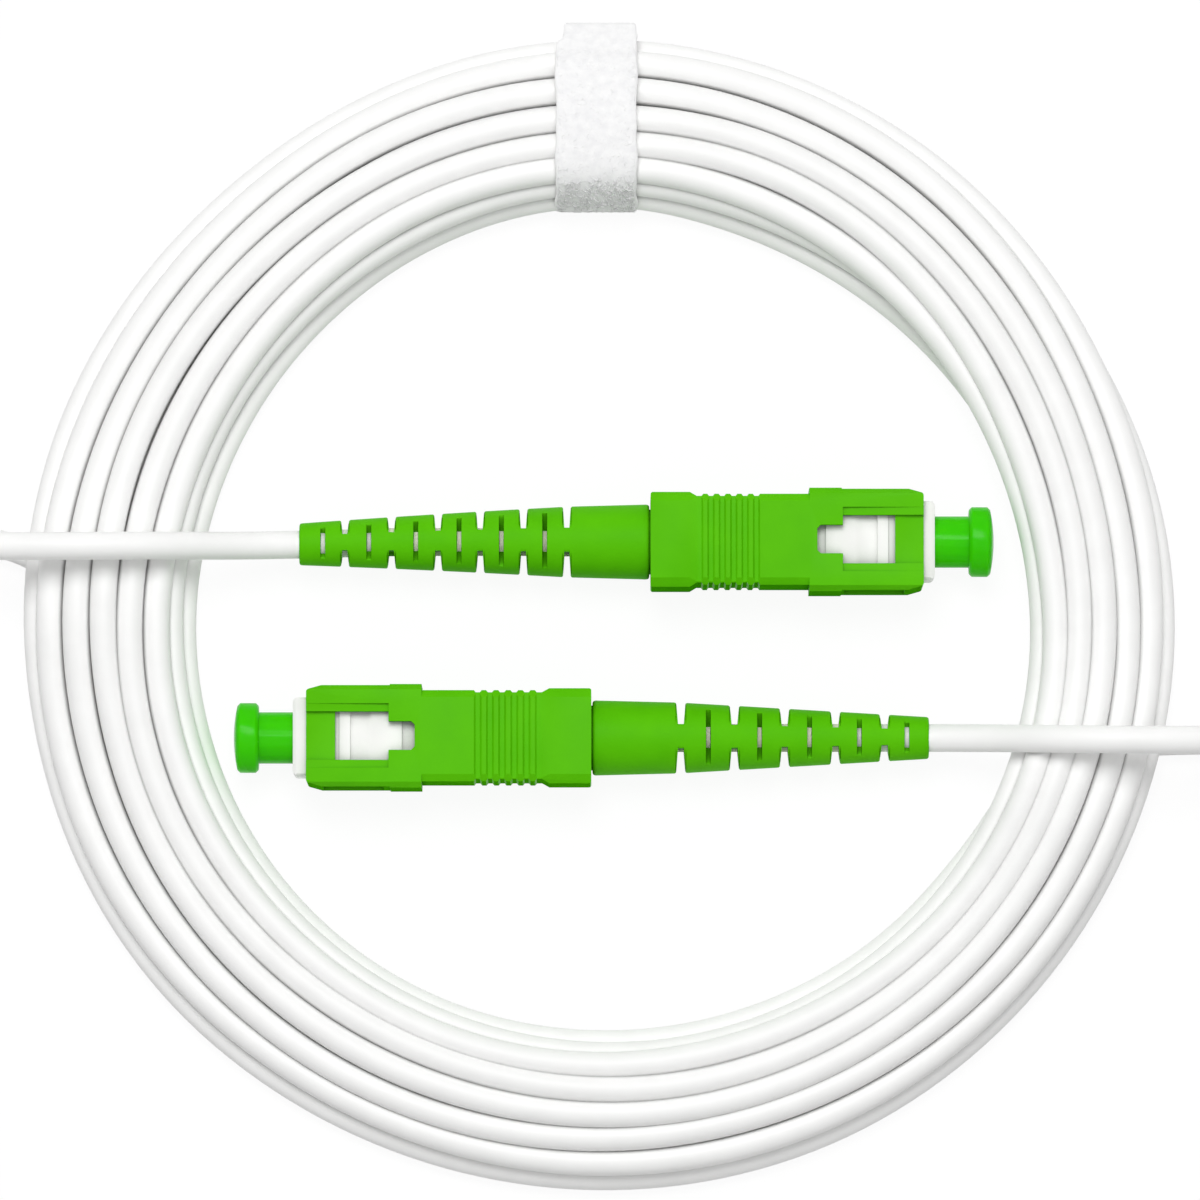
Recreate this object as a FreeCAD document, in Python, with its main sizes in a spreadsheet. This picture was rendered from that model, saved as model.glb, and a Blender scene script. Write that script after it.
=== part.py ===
import FreeCAD, Part
import math
import os
from types import SimpleNamespace

import Sketcher

# Fibre optic patch cord: two SC connectors with angled ferrules, one on each end of a white cord
# that lies coiled round them and is held by a hook-and-loop strap. Millimetres, +Z up.
# The origin is on the resting surface, midway between the two connectors.
# Along a connector, x = 0 is the rear face of its housing and +x points to its dust cap.

SIZES = {
    # where the two connectors lie
    "connector_spacing": 16.9,
    "housing_offset": 2.6,
    # cord and its parts
    "cord_diameter": 2.4,
    "buffer_diameter": 0.9,
    "fit_gap": 0.04,
    "slide_gap": 0.08,
    # outer housing
    "housing_length": 24.0,
    "housing_thick": 7.4,
    "block_width": 8.45,
    "block_length": 3.45,
    "block_slope": 0.6,
    "grip_width": 8.1,
    "rib_count": 5,
    "rib_start": 4.8,
    "rib_pitch": 1.0,
    "rib_top": 0.36,
    "rib_foot": 0.66,
    "rib_height": 0.2,
    "grip_bevel_wide": 0.8,
    "grip_bevel_deep": 0.5,
    "rail_width": 9.0,
    "rail_start": 13.95,
    "rail_bevel": 0.5,
    "nose_length": 1.3,
    "nose_drop": 0.4,
    "nose_round": 0.3,
    "rear_round": 0.2,
    "key_length": 2.85,
    "key_height": 0.1,
    "channel_start": 16.9,
    "channel_width": 5.7,
    "channel_depth": 0.25,
    "window_width": 4.3,
    "window_length": 4.6,
    "window_tail_width": 2.55,
    "window_tail_length": 2.25,
    "bar_depth": 0.5,
    "recess_width": 6.95,
    "recess_height": 6.7,
    "recess_depth": 2.4,
    "cavity_bevel": 0.3,
    "slide_travel": 1.8,
    # plug frame
    "frame_proud": 1.1,
    "frame_length": 19.1,
    "frame_width": 6.7,
    "frame_tail_width": 6.1,
    "frame_tail_length": 6.0,
    "frame_corner": 0.45,
    "frame_bevel": 0.3,
    "platform_height": 2.75,
    "platform_start": 15.6,
    "platform_end": 18.05,
    "frame_low_height": 2.45,
    "notch_height": 2.5,
    "notch_start": 18.55,
    "lug_start": 19.85,
    "lug_end": 20.9,
    "lug_height": 2.8,
    "front_height": 2.65,
    "front_bore": 4.5,
    "front_bore_depth": 6.2,
    "seat_wall": 1.0,
    "seat_hole": 2.9,
    "rear_bore": 4.1,
    "latch_start": 17.0,
    "latch_length": 1.0,
    "latch_height": 0.3,
    "latch_width": 1.8,
    "snap_inset": 1.4,
    "snap_length": 0.8,
    "snap_height": 0.1,
    # ferrule, collar and spring
    "ferrule_diameter": 2.5,
    "ferrule_length": 10.5,
    "ferrule_proud": 0.6,
    "ferrule_tip_length": 0.5,
    "ferrule_tip_drop": 0.5,
    "ferrule_tip_angle": 8.0,
    "ferrule_travel": 1.0,
    "collar_diameter": 3.9,
    "collar_length": 1.95,
    "collar_key_width": 0.7,
    "collar_key_depth": 0.35,
    "stem_diameter": 2.7,
    "stem_length": 5.3,
    "stem_bore": 1.1,
    "spring_wire": 0.4,
    "spring_outer": 3.9,
    "spring_turns": 5,
    "spring_flats": 6,
    # stop ring, yarn and crimp
    "stop_front_length": 4.0,
    "stop_bore": 3.0,
    "stop_bore_depth": 3.2,
    "stop_flange": 5.6,
    "stop_flange_length": 1.4,
    "barrel_diameter": 3.4,
    "barrel_length": 7.8,
    "barrel_bore": 2.0,
    "yarn_thick": 0.25,
    "crimp_wall": 0.32,
    "crimp_taper": 0.6,
    "crimp_tail_length": 3.0,
    "crimp_tail_wall": 0.45,
    # boot
    "boot_length": 29.7,
    "boot_neck": 5.6,
    "boot_mouth": 6.46,
    "boot_sleeve": 6.1,
    "boot_tip": 3.6,
    "boot_rim": 0.3,
    "boot_sleeve_end_a": 6.6,
    "boot_sleeve_end_b": 8.3,
    "boot_slots_a": 6,
    "boot_slots_b": 5,
    "boot_pitch_a": 3.82,
    "boot_pitch_b": 4.3,
    "slot_start": 2.05,
    "slot_width": 0.39,
    "slot_web": 0.62,
    "notch_offset": 1.93,
    "notch_wide": 0.72,
    "notch_narrow": 0.46,
    "notch_web_tip": 2.5,
    "notch_web_sleeve": 3.75,
    "mouth_depth": 6.8,
    # dust cap
    "cap_shaft": 4.3,
    "cap_reach": 4.9,
    "cap_stand": 2.85,
    "cap_flange": 5.85,
    "cap_flange_length": 2.15,
    "cap_dome": 0.3,
    "cap_rim": 0.25,
    "cap_tip_gap": 0.3,
    # coil of cord and its strap
    "coil_outer_radius": 49.6,
    "coil_outer_x": -1.28,
    "coil_outer_y": 2.2,
    "coil_inner_radius": 35.6,
    "coil_inner_x": -0.33,
    "coil_inner_y": 1.77,
    "coil_rows": 3,
    "coil_row_share": 0.79,
    "coil_bevel_out": 3.4,
    "coil_bevel_in": 2.6,
    "coil_bevel_low": 0.5,
    "tie_centre": -1.52,
    "tie_width": 7.0,
    "tie_thick": 0.9,
    "tie_squeeze": 0.55,
    "tie_round": 1.0,
    "tie_bevel": 2.2,
    "tie_tail": 1.6,
    "tie_tail_height": 3.2,
}


class Size:
    """A size with its value and the expression that binds it to the spreadsheet."""

    def __init__(self, text, value):
        self.text = text
        self.value = value

    def joined(self, sign, other, value):
        return Size(f"({self.text} {sign} {as_size(other).text})", value)

    def __add__(self, other):
        return self.joined("+", other, self.value + as_size(other).value)

    def __sub__(self, other):
        return self.joined("-", other, self.value - as_size(other).value)

    def __mul__(self, other):
        return self.joined("*", other, self.value * as_size(other).value)

    def __truediv__(self, other):
        return self.joined("/", other, self.value / as_size(other).value)

    def __neg__(self):
        return Size(f"(0 - {self.text})", -self.value)


def as_size(number):
    if isinstance(number, Size):
        return number
    return Size(repr(float(number)), float(number))


os.makedirs("parts", exist_ok=True)
doc = FreeCAD.newDocument("patch_cord")
sheet = doc.addObject("Spreadsheet::Sheet", "Dims")
for row, (alias, number) in enumerate(SIZES.items(), start=1):
    sheet.set(f"A{row}", alias.replace("_", " "))
    sheet.set(f"B{row}", str(number))
    sheet.setAlias(f"B{row}", alias)
doc.recompute()
d = SimpleNamespace(**{alias: Size("Dims." + alias, float(sheet.get(alias))) for alias in SIZES})
zero = as_size(0)
past = as_size(1)
pieces = []


# ---------------------------------------------------------------- sketches and features


def arc_between(start, end, radius):
    """Arc of the given radius from start to end that bulges to the right of the way it goes."""
    half = (end - start) * 0.5
    side = FreeCAD.Vector(half.y, -half.x, 0).normalize()
    rise = radius - math.sqrt(radius * radius - half.Length ** 2)
    return Part.Arc(start, start + half + side * rise, end)


def outline(sketch, corners):
    """Closed outline; a corner is (x, y), or (x, y, radius) where an arc leads to the next corner."""
    points = [FreeCAD.Vector(corner[0].value, corner[1].value, 0) for corner in corners]
    first = sketch.GeometryCount
    count = len(corners)
    starts = []
    for index, corner in enumerate(corners):
        start = points[index]
        end = points[(index + 1) % count]
        if len(corner) == 3:
            sketch.addGeometry(arc_between(start, end, corner[2].value))
        else:
            sketch.addGeometry(Part.LineSegment(start, end))
        begins = (sketch.getPoint(first + index, 1) - start).Length < 1e-6
        starts.append(1 if begins else 2)
    for index, corner in enumerate(corners):
        follower = (index + 1) % count
        join = (first + index, 3 - starts[index], first + follower, starts[follower])
        sketch.addConstraint(Sketcher.Constraint("Coincident", *join))
    for index, corner in enumerate(corners):
        spot = (-1, 1, first + index, starts[index])
        for kind, size in (("DistanceX", corner[0]), ("DistanceY", corner[1])):
            number = sketch.addConstraint(Sketcher.Constraint(kind, *spot, size.value))
            sketch.setExpression(f"Constraints[{number}]", size.text)
        if len(corner) == 3:
            hold = Sketcher.Constraint("Radius", first + index, corner[2].value)
            number = sketch.addConstraint(hold)
            sketch.setExpression(f"Constraints[{number}]", corner[2].text)


def circle(sketch, x, y, radius):
    """Circle held by its centre's two distances from the origin and by its radius."""
    centre = FreeCAD.Vector(x.value, y.value, 0)
    index = sketch.addGeometry(Part.Circle(centre, FreeCAD.Vector(0, 0, 1), radius.value))
    for kind, size in (("DistanceX", x), ("DistanceY", y)):
        number = sketch.addConstraint(Sketcher.Constraint(kind, -1, 1, index, 3, size.value))
        sketch.setExpression(f"Constraints[{number}]", size.text)
    number = sketch.addConstraint(Sketcher.Constraint("Radius", index, radius.value))
    sketch.setExpression(f"Constraints[{number}]", radius.text)


def rectangle(x_low, x_high, y_low, y_high):
    return [(x_low, y_low), (x_high, y_low), (x_high, y_high), (x_low, y_high)]


def mirrored(corners):
    """The same outline reflected in the sketch's horizontal axis."""
    return [(corner[0], -corner[1]) for corner in reversed(corners)]


def new_sketch(body, name, plane, offset=None):
    sketch = body.newObject("Sketcher::SketchObject", f"{name}_{body.Name}")
    origin_plane = [item for item in body.Origin.OriginFeatures if item.Role == plane][0]
    sketch.AttachmentSupport = (origin_plane, [""])
    sketch.MapMode = "FlatFace"
    if offset is not None:
        sketch.setExpression("AttachmentOffset.Base.z", offset.text)
    return sketch


def pad(body, name, plane, outlines, length, symmetric=True, offset=None):
    sketch = new_sketch(body, name, plane, offset)
    for corners in outlines:
        outline(sketch, corners)
    feature = body.newObject("PartDesign::Pad", f"{name}_pad_{body.Name}")
    feature.Profile = sketch
    feature.setExpression("Length", length.text)
    feature.SideType = "Symmetric" if symmetric else "One side"
    doc.recompute()
    return feature


def must_shrink(body, feature, before):
    doc.recompute()
    if not feature.Shape.isValid() or feature.Shape.Volume > before - 1e-4:
        raise RuntimeError(f"{feature.Name} cuts nothing from {body.Label}")


def pocket(body, name, plane, outlines, length, symmetric=False, offset=None):
    """Cut the outlines; from a YZ plane a one-sided cut runs towards +x."""
    before = body.Shape.Volume
    sketch = new_sketch(body, name, plane, offset)
    for corners in outlines:
        outline(sketch, corners)
    feature = body.newObject("PartDesign::Pocket", f"{name}_cut_{body.Name}")
    feature.Profile = sketch
    feature.setExpression("Length", length.text)
    feature.SideType = "Symmetric" if symmetric else "One side"
    feature.Reversed = not symmetric
    must_shrink(body, feature, before)
    return feature


def turned(body, name, corners):
    """Solid of revolution about the x axis; corners are (x, radius)."""
    sketch = new_sketch(body, name, "XY_Plane")
    outline(sketch, corners)
    feature = body.newObject("PartDesign::Revolution", f"{name}_turn_{body.Name}")
    feature.Profile = sketch
    feature.ReferenceAxis = (sketch, ["H_Axis"])
    feature.Angle = 360
    doc.recompute()
    return feature


def bored(body, name, corners):
    """Cut a solid of revolution about the x axis out of the body."""
    before = body.Shape.Volume
    sketch = new_sketch(body, name, "XY_Plane")
    outline(sketch, corners)
    feature = body.newObject("PartDesign::Groove", f"{name}_bore_{body.Name}")
    feature.Profile = sketch
    feature.ReferenceAxis = (sketch, ["H_Axis"])
    feature.Angle = 360
    must_shrink(body, feature, before)
    return feature


def dressed(body, kind, value, size, picked):
    """Fillet or bevel of the edges of the body's last feature that picked accepts."""
    base = body.Tip
    names = [f"Edge{number}" for number, edge in enumerate(base.Shape.Edges, start=1) if picked(edge)]
    feature = body.newObject(f"PartDesign::{kind}", f"{kind}_{body.Name}_{len(body.Group)}")
    feature.Base = (base, names)
    feature.setExpression(value, size.text)
    doc.recompute()
    return feature


def rounded(body, radius, picked):
    return dressed(body, "Fillet", "Radius", radius, picked)


def bevelled(body, size, picked):
    return dressed(body, "Chamfer", "Size", size, picked)


def new_body(label):
    body = doc.addObject("PartDesign::Body", label)
    body.Label = label
    pieces.append(body)
    return body


def connector_body(label, end):
    """Body in a connector's own frame; end b is end a turned half a turn about the middle."""
    body = new_body(f"{label}_{end}")
    x = d.housing_offset
    y = d.connector_spacing / 2
    if end == "b":
        body.Placement.Rotation = FreeCAD.Rotation(FreeCAD.Vector(0, 0, 1), 180)
        x = -x
        y = -y
    body.setExpression("Placement.Base.x", x.text)
    body.setExpression("Placement.Base.y", y.text)
    body.setExpression("Placement.Base.z", (d.housing_thick / 2).text)
    return body


# ---------------------------------------------------------------- stations along a connector

half_thick = d.housing_thick / 2
cavity_half = d.lug_height + d.slide_gap
cavity_wide = d.frame_width / 2 + d.slide_gap
window_front = d.channel_start + d.window_length
frame_front = d.housing_length + d.frame_proud
frame_rear = frame_front - d.frame_length
bore_floor = frame_front - d.front_bore_depth
seat_face = bore_floor - d.seat_wall
ferrule_tip = frame_front + d.ferrule_proud
ferrule_rear = ferrule_tip - d.ferrule_length
collar_front = seat_face - d.fit_gap
collar_rear = collar_front - d.collar_length
snap_start = frame_rear + d.snap_inset
stop_front = frame_rear + d.stop_front_length
stop_rear = frame_rear - d.stop_flange_length
barrel_rear = stop_rear - d.barrel_length
barrel_radius = d.barrel_diameter / 2
yarn_radius = barrel_radius + d.fit_gap / 2 + d.yarn_thick
crimp_bore = yarn_radius + d.fit_gap / 2
crimp_radius = crimp_bore + d.crimp_wall
cord_radius = d.cord_diameter / 2
crimp_tail_bore = cord_radius + d.fit_gap / 2
crimp_tail_radius = crimp_tail_bore + d.crimp_tail_wall
crimp_front = stop_rear - d.slide_gap
crimp_step = barrel_rear - d.fit_gap - d.crimp_taper
crimp_rear = crimp_step - d.crimp_tail_length
cord_front = barrel_rear - d.fit_gap
boot_rear = -d.boot_length
mouth_face = boot_rear + d.mouth_depth
cap_rear = frame_front - d.cap_reach
cap_shoulder = frame_front + d.cap_stand
cap_front = cap_shoulder + d.cap_flange_length


# ---------------------------------------------------------------- connector pieces


def grip_side(high, low):
    """Side of the grip from the rear block to the rails: block, grooves between ribs, plain part."""
    corners = [(zero, high), (d.block_length, high), (d.block_length + d.block_slope, low)]
    for index in range(int(d.rib_count.value)):
        middle = d.rib_start + d.rib_pitch * index
        corners.append((middle - d.rib_foot / 2, low))
        corners.append((middle - d.rib_top / 2, low + d.rib_height))
        corners.append((middle + d.rib_top / 2, low + d.rib_height))
        corners.append((middle + d.rib_foot / 2, low))
    last_groove = d.rib_start + d.rib_pitch * d.rib_count - d.rib_top / 2
    corners.append((last_groove - (d.rib_foot - d.rib_top) / 2, low))
    corners.append((last_groove, low + d.rib_height))
    return corners


def corner_cuts(half_wide, half_high, bevel_wide, bevel_deep):
    """Four cuts that bevel the long edges of a section in the YZ plane."""
    upper = []
    for side in (1, -1):
        edge = half_wide * side
        corners = [
            (edge - bevel_wide * side, half_high),
            (edge, half_high - bevel_deep),
            (edge + past * side, half_high - bevel_deep),
            (edge + past * side, half_high + past),
            (edge - bevel_wide * side, half_high + past),
        ]
        upper.append(corners)
    return upper + [mirrored(corners) for corners in upper]


def upright_at(x, half_wide):
    """Accepts the upright edges of a plan at a station x and at both sides."""

    def accepts(edge):
        box = edge.BoundBox
        upright = box.XLength < 1e-6 and box.YLength < 1e-6
        return upright and abs(box.XMin - x.value) < 1e-4 and abs(abs(box.YMin) - half_wide.value) < 1e-4

    return accepts


def make_outer_housing(end):
    """Sliding grip: ribbed tube with rails, latch windows and a channel for the adapter's hooks."""
    body = connector_body("outer_housing", end)
    rail = d.rail_width / 2
    side = grip_side(d.block_width / 2, d.grip_width / 2 - d.rib_height)
    side += [
        (d.rail_start, d.grip_width / 2),
        (d.rail_start, rail + d.key_height),
        (d.rail_start + d.key_length, rail + d.key_height),
        (d.rail_start + d.key_length, rail),
        (d.housing_length - d.nose_length, rail),
        (d.housing_length, rail - d.nose_drop),
    ]
    pad(body, "plan", "XY_Plane", [side + mirrored(side)], d.housing_thick)
    rounded(body, d.nose_round, upright_at(d.housing_length, rail - d.nose_drop))
    rounded(body, d.rear_round, upright_at(zero, d.block_width / 2))

    top = half_thick + past
    groove = grip_side(half_thick, half_thick - d.rib_height)[1:]
    groove += [(groove[-1][0], top), (d.block_length, top)]
    pocket(body, "ribs", "XZ_Plane", [groove, mirrored(groove)], d.rail_width * 2, symmetric=True)

    grip_cuts = corner_cuts(d.block_width / 2, half_thick, d.grip_bevel_wide, d.grip_bevel_deep)
    pocket(body, "grip_bevel", "YZ_Plane", grip_cuts, d.rail_start)
    rail_cuts = corner_cuts(rail + d.key_height, half_thick, d.rail_bevel, d.rail_bevel)
    rail_length = d.housing_length - d.rail_start
    pocket(body, "rail_bevel", "YZ_Plane", rail_cuts, rail_length + past, offset=d.rail_start)

    bevel = d.cavity_bevel
    cavity_side = [
        (-cavity_wide, zero - cavity_half + bevel),
        (bevel - cavity_wide, -cavity_half),
        (cavity_wide - bevel, -cavity_half),
        (cavity_wide, bevel - cavity_half),
    ]
    cavity = cavity_side + mirrored(cavity_side)
    pocket(body, "cavity", "YZ_Plane", [cavity], d.housing_length + past)
    wide = d.recess_width / 2
    high = d.recess_height / 2
    pocket(body, "recess", "YZ_Plane", [rectangle(-wide, wide, -high, high)], d.recess_depth)

    channel = d.channel_width / 2
    ledge = half_thick - d.channel_depth
    ledge_cut = rectangle(-channel, channel, ledge, top)
    channel_length = d.housing_length - d.channel_start + past
    cuts = [ledge_cut, mirrored(ledge_cut)]
    pocket(body, "channel", "YZ_Plane", cuts, channel_length, offset=d.channel_start)
    window = d.window_width / 2
    bar_cut = rectangle(-window, window, half_thick - d.bar_depth, top)
    bar_length = d.housing_length - window_front + past
    cuts = [bar_cut, mirrored(bar_cut)]
    pocket(body, "bar", "YZ_Plane", cuts, bar_length, offset=window_front)

    tail = d.window_tail_width / 2
    tail_start = d.channel_start - d.window_tail_length
    tee = [
        (tail_start, bevel - tail),
        (tail_start + bevel, -tail),
        (d.channel_start, -tail),
        (d.channel_start, -window),
        (window_front, -window),
    ]
    pocket(body, "window", "XY_Plane", [tee + mirrored(tee)], d.housing_thick * 2, symmetric=True)

    latch = d.latch_width / 2 + d.slide_gap
    slot_depth = cavity_wide + d.latch_height
    slot = rectangle(zero - latch, latch, cavity_wide - d.slide_gap, slot_depth)
    slots = [[(y, z) for z, y in slot], [(-y, z) for z, y in slot]]
    slot_length = d.latch_length + d.slide_travel + d.slide_gap * 2
    slot_from = d.latch_start - d.slide_gap
    pocket(body, "slots", "YZ_Plane", slots, slot_length, offset=slot_from)
    return body


def make_plug_frame(end):
    """White inner body: latch lugs, platform and notch on both faces, bores for ferrule and spring."""
    body = connector_body("plug_frame", end)
    wide = d.frame_width / 2
    tail = d.frame_tail_width / 2
    tail_end = frame_rear + d.frame_tail_length
    corner = d.frame_corner
    side = [(frame_rear, tail), (tail_end, tail), (tail_end + (wide - tail) * 2, wide), (frame_front, wide)]
    pad(body, "plan", "XY_Plane", [side + mirrored(side)], d.lug_height * 2)
    rounded(body, corner, upright_at(frame_front, wide))
    bevels = corner_cuts(wide, d.lug_height, d.frame_bevel, d.frame_bevel)
    pocket(body, "bevel", "YZ_Plane", bevels, frame_front + past)

    top = d.lug_height + past
    before = frame_rear - past
    after = frame_front + past
    rear_cut = [
        (before, d.frame_low_height),
        (d.platform_start, d.frame_low_height),
        (d.platform_start, d.platform_height),
        (d.platform_end, d.platform_height),
        (d.notch_start, d.notch_height),
        (d.lug_start, d.notch_height),
        (d.lug_start, top),
        (before, top),
    ]
    front_cut = [
        (d.lug_end, d.front_height),
        (frame_front - corner, d.front_height),
        (frame_front, d.front_height - corner / 2),
        (after, d.front_height - corner / 2),
        (after, top),
        (d.lug_end, top),
    ]
    cuts = [rear_cut, front_cut, mirrored(rear_cut), mirrored(front_cut)]
    pocket(body, "faces", "XZ_Plane", cuts, d.frame_width * 2, symmetric=True)

    latch_end = d.latch_start + d.latch_length
    ramp = [
        (d.latch_start, wide - d.slide_gap),
        (latch_end, wide - d.slide_gap),
        (latch_end, wide),
        (d.latch_start + d.latch_length / 2, wide + d.latch_height),
        (d.latch_start, wide + d.latch_height),
    ]
    pad(body, "latches", "XY_Plane", [ramp, mirrored(ramp)], d.latch_width)

    rear_bore = d.rear_bore / 2
    snap_end = snap_start + d.snap_length
    bored(body, "bores", [
        (before, zero),
        (before, rear_bore),
        (snap_start, rear_bore),
        (snap_start, rear_bore + d.snap_height),
        (snap_end, rear_bore + d.snap_height),
        (snap_end, rear_bore),
        (seat_face, rear_bore),
        (seat_face, d.seat_hole / 2),
        (bore_floor, d.seat_hole / 2),
        (bore_floor, d.front_bore / 2),
        (after, d.front_bore / 2),
        (after, zero),
    ])
    return body


def make_ferrule(end):
    """Ceramic ferrule with a coned tip that is ground off at the polish angle."""
    body = connector_body("ferrule", end)
    radius = d.ferrule_diameter / 2
    tip_radius = radius - d.ferrule_tip_drop
    turned(body, "ferrule", [
        (ferrule_rear, zero),
        (ferrule_tip, zero),
        (ferrule_tip, tip_radius),
        (ferrule_tip - d.ferrule_tip_length, radius),
        (ferrule_rear, radius),
    ])
    slope = Size(f"tan({d.ferrule_tip_angle.text} * 1deg)", math.tan(math.radians(d.ferrule_tip_angle.value)))
    polish = [
        (ferrule_tip, tip_radius),
        (ferrule_tip - slope * tip_radius * 2, -tip_radius),
        (ferrule_tip - slope * tip_radius * 3, -tip_radius - tip_radius),
        (ferrule_tip + past, -tip_radius - tip_radius),
        (ferrule_tip + past, tip_radius),
    ]
    pocket(body, "polish", "XZ_Plane", [polish], d.ferrule_diameter * 2, symmetric=True)
    return body


def make_ferrule_collar(end):
    """Metal collar pressed on the ferrule, with key slots, and the stem that the spring rides on."""
    body = connector_body("ferrule_collar", end)
    collar = d.collar_diameter / 2
    stem = d.stem_diameter / 2
    bore = d.stem_bore / 2
    stem_rear = collar_rear - d.stem_length
    seat = d.ferrule_diameter / 2
    turned(body, "collar", [
        (stem_rear, bore),
        (ferrule_rear, bore),
        (ferrule_rear, seat),
        (collar_front, seat),
        (collar_front, collar),
        (collar_rear, collar),
        (collar_rear, stem),
        (stem_rear, stem),
    ])
    key = d.collar_key_width / 2
    slot = rectangle(-key, key, collar - d.collar_key_depth, collar + past)
    cut = pocket(body, "key", "YZ_Plane", [slot], d.collar_length + past, offset=collar_rear)
    pattern = body.newObject("PartDesign::PolarPattern", f"keys_{body.Name}")
    pattern.Originals = [cut]
    pattern.Axis = ([item for item in body.Origin.OriginFeatures if item.Role == "X_Axis"][0], [""])
    pattern.Angle = 360
    pattern.Occurrences = 4
    body.Tip = pattern
    doc.recompute()
    return body


def make_ferrule_spring(end):
    """Compression spring between the collar and the stop ring; flats keep its wire's facets few."""
    body = connector_body("ferrule_spring", end)
    wire = d.spring_wire / 2
    sketch = new_sketch(body, "wire", "XY_Plane")
    first = stop_front + wire + d.fit_gap
    middle = d.spring_outer / 2 - wire
    flats = int(d.spring_flats.value)
    turns = [math.tau * index / flats for index in range(flats)]
    outline(sketch, [(first + wire * math.cos(turn), middle + wire * math.sin(turn)) for turn in turns])
    helix = body.newObject("PartDesign::AdditiveHelix", f"helix_{body.Name}")
    helix.Profile = sketch
    helix.ReferenceAxis = (sketch, ["H_Axis"])
    helix.Mode = "height-turns-angle"
    helix.setExpression("Height", (collar_rear - wire - d.fit_gap - first).text)
    helix.setExpression("Turns", d.spring_turns.text)
    doc.recompute()
    return body


def make_stop_ring(end):
    """Rear body: snaps into the frame, stops the spring and carries the crimp on its barrel."""
    body = connector_body("stop_ring", end)
    front = d.rear_bore / 2 - d.fit_gap
    flange = d.stop_flange / 2
    bead_start = snap_start + d.fit_gap
    bead_end = snap_start + d.snap_length - d.fit_gap
    bead = d.rear_bore / 2 + d.snap_height - d.fit_gap
    bore_end = stop_front - d.stop_bore_depth
    turned(body, "stop", [
        (barrel_rear, d.barrel_bore / 2),
        (bore_end, d.barrel_bore / 2),
        (bore_end, d.stop_bore / 2),
        (stop_front, d.stop_bore / 2),
        (stop_front, front),
        (bead_end, front),
        (bead_start, bead),
        (bead_start, front),
        (frame_rear, front),
        (frame_rear, flange),
        (stop_rear, flange),
        (stop_rear, barrel_radius),
        (barrel_rear, barrel_radius),
    ])
    return body


def make_yarn_sleeve(end):
    """Aramid yarn folded back over the barrel, under the crimp."""
    body = connector_body("yarn_sleeve", end)
    inner = barrel_radius + d.fit_gap / 2
    turned(body, "yarn", rectangle(barrel_rear, crimp_front - d.slide_gap, inner, yarn_radius))
    return body


def make_crimp_ring(end):
    """Stepped sleeve: the wide part over the yarn, the narrow tail over the cord."""
    body = connector_body("crimp_ring", end)
    turned(body, "crimp", [
        (crimp_rear, crimp_tail_bore),
        (crimp_step, crimp_tail_bore),
        (cord_front, crimp_bore),
        (crimp_front, crimp_bore),
        (crimp_front, crimp_radius),
        (cord_front, crimp_radius),
        (crimp_step, crimp_tail_radius),
        (crimp_rear, crimp_tail_radius),
    ])
    return body


def make_boot(end):
    """Bend-relief boot: tapered body with alternate slots and side notches, and a plain sleeve."""
    body = connector_body("boot", end)
    sleeve_rear = -(d.boot_sleeve_end_a if end == "a" else d.boot_sleeve_end_b)
    count = int((d.boot_slots_a if end == "a" else d.boot_slots_b).value)
    pitch = d.boot_pitch_a if end == "a" else d.boot_pitch_b
    tip = d.boot_tip / 2
    sleeve = d.boot_sleeve / 2
    mouth = d.boot_mouth / 2
    neck = d.boot_neck / 2
    rim = d.boot_rim
    sleeve_front = -d.slide_gap * 2
    turned(body, "form", [
        (boot_rear, cord_radius + d.fit_gap),
        (crimp_rear - d.fit_gap, cord_radius + d.fit_gap),
        (crimp_rear - d.fit_gap, crimp_tail_radius + d.fit_gap),
        (crimp_step, crimp_tail_radius + d.fit_gap),
        (cord_front, crimp_radius + d.fit_gap),
        (stop_rear - d.fit_gap, crimp_radius + d.fit_gap),
        (stop_rear - d.fit_gap, neck),
        (sleeve_front, neck),
        (sleeve_front, mouth - rim),
        (sleeve_front - rim, mouth),
        (sleeve_rear, sleeve),
        (boot_rear + rim / 2, tip),
        (boot_rear, tip - rim / 2),
    ])
    slots = []
    notches = []
    for index in range(count):
        slot_middle = boot_rear + d.slot_start + pitch * index
        share = (slot_middle - boot_rear) / (sleeve_rear - boot_rear)
        half_slot = tip + (sleeve - tip) * share - d.slot_web
        half_width = d.slot_width / 2
        slots.append(rectangle(slot_middle - half_width, slot_middle + half_width, -half_slot, half_slot))
        middle = slot_middle + d.notch_offset
        part = index / max(count - 1, 1)
        web = (d.notch_web_tip + (d.notch_web_sleeve - d.notch_web_tip) * part) / 2
        wide = d.notch_wide / 2
        narrow = d.notch_narrow / 2
        notch = [
            (middle - narrow, web),
            (middle + narrow, web),
            (middle + wide, mouth),
            (middle + wide, mouth + past),
            (middle - wide, mouth + past),
            (middle - wide, mouth),
        ]
        notches += [notch, mirrored(notch)]
    pocket(body, "slots", "XY_Plane", slots, d.boot_mouth * 2, symmetric=True)
    pocket(body, "notches", "XY_Plane", notches, d.boot_mouth * 2, symmetric=True)
    return body


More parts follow.
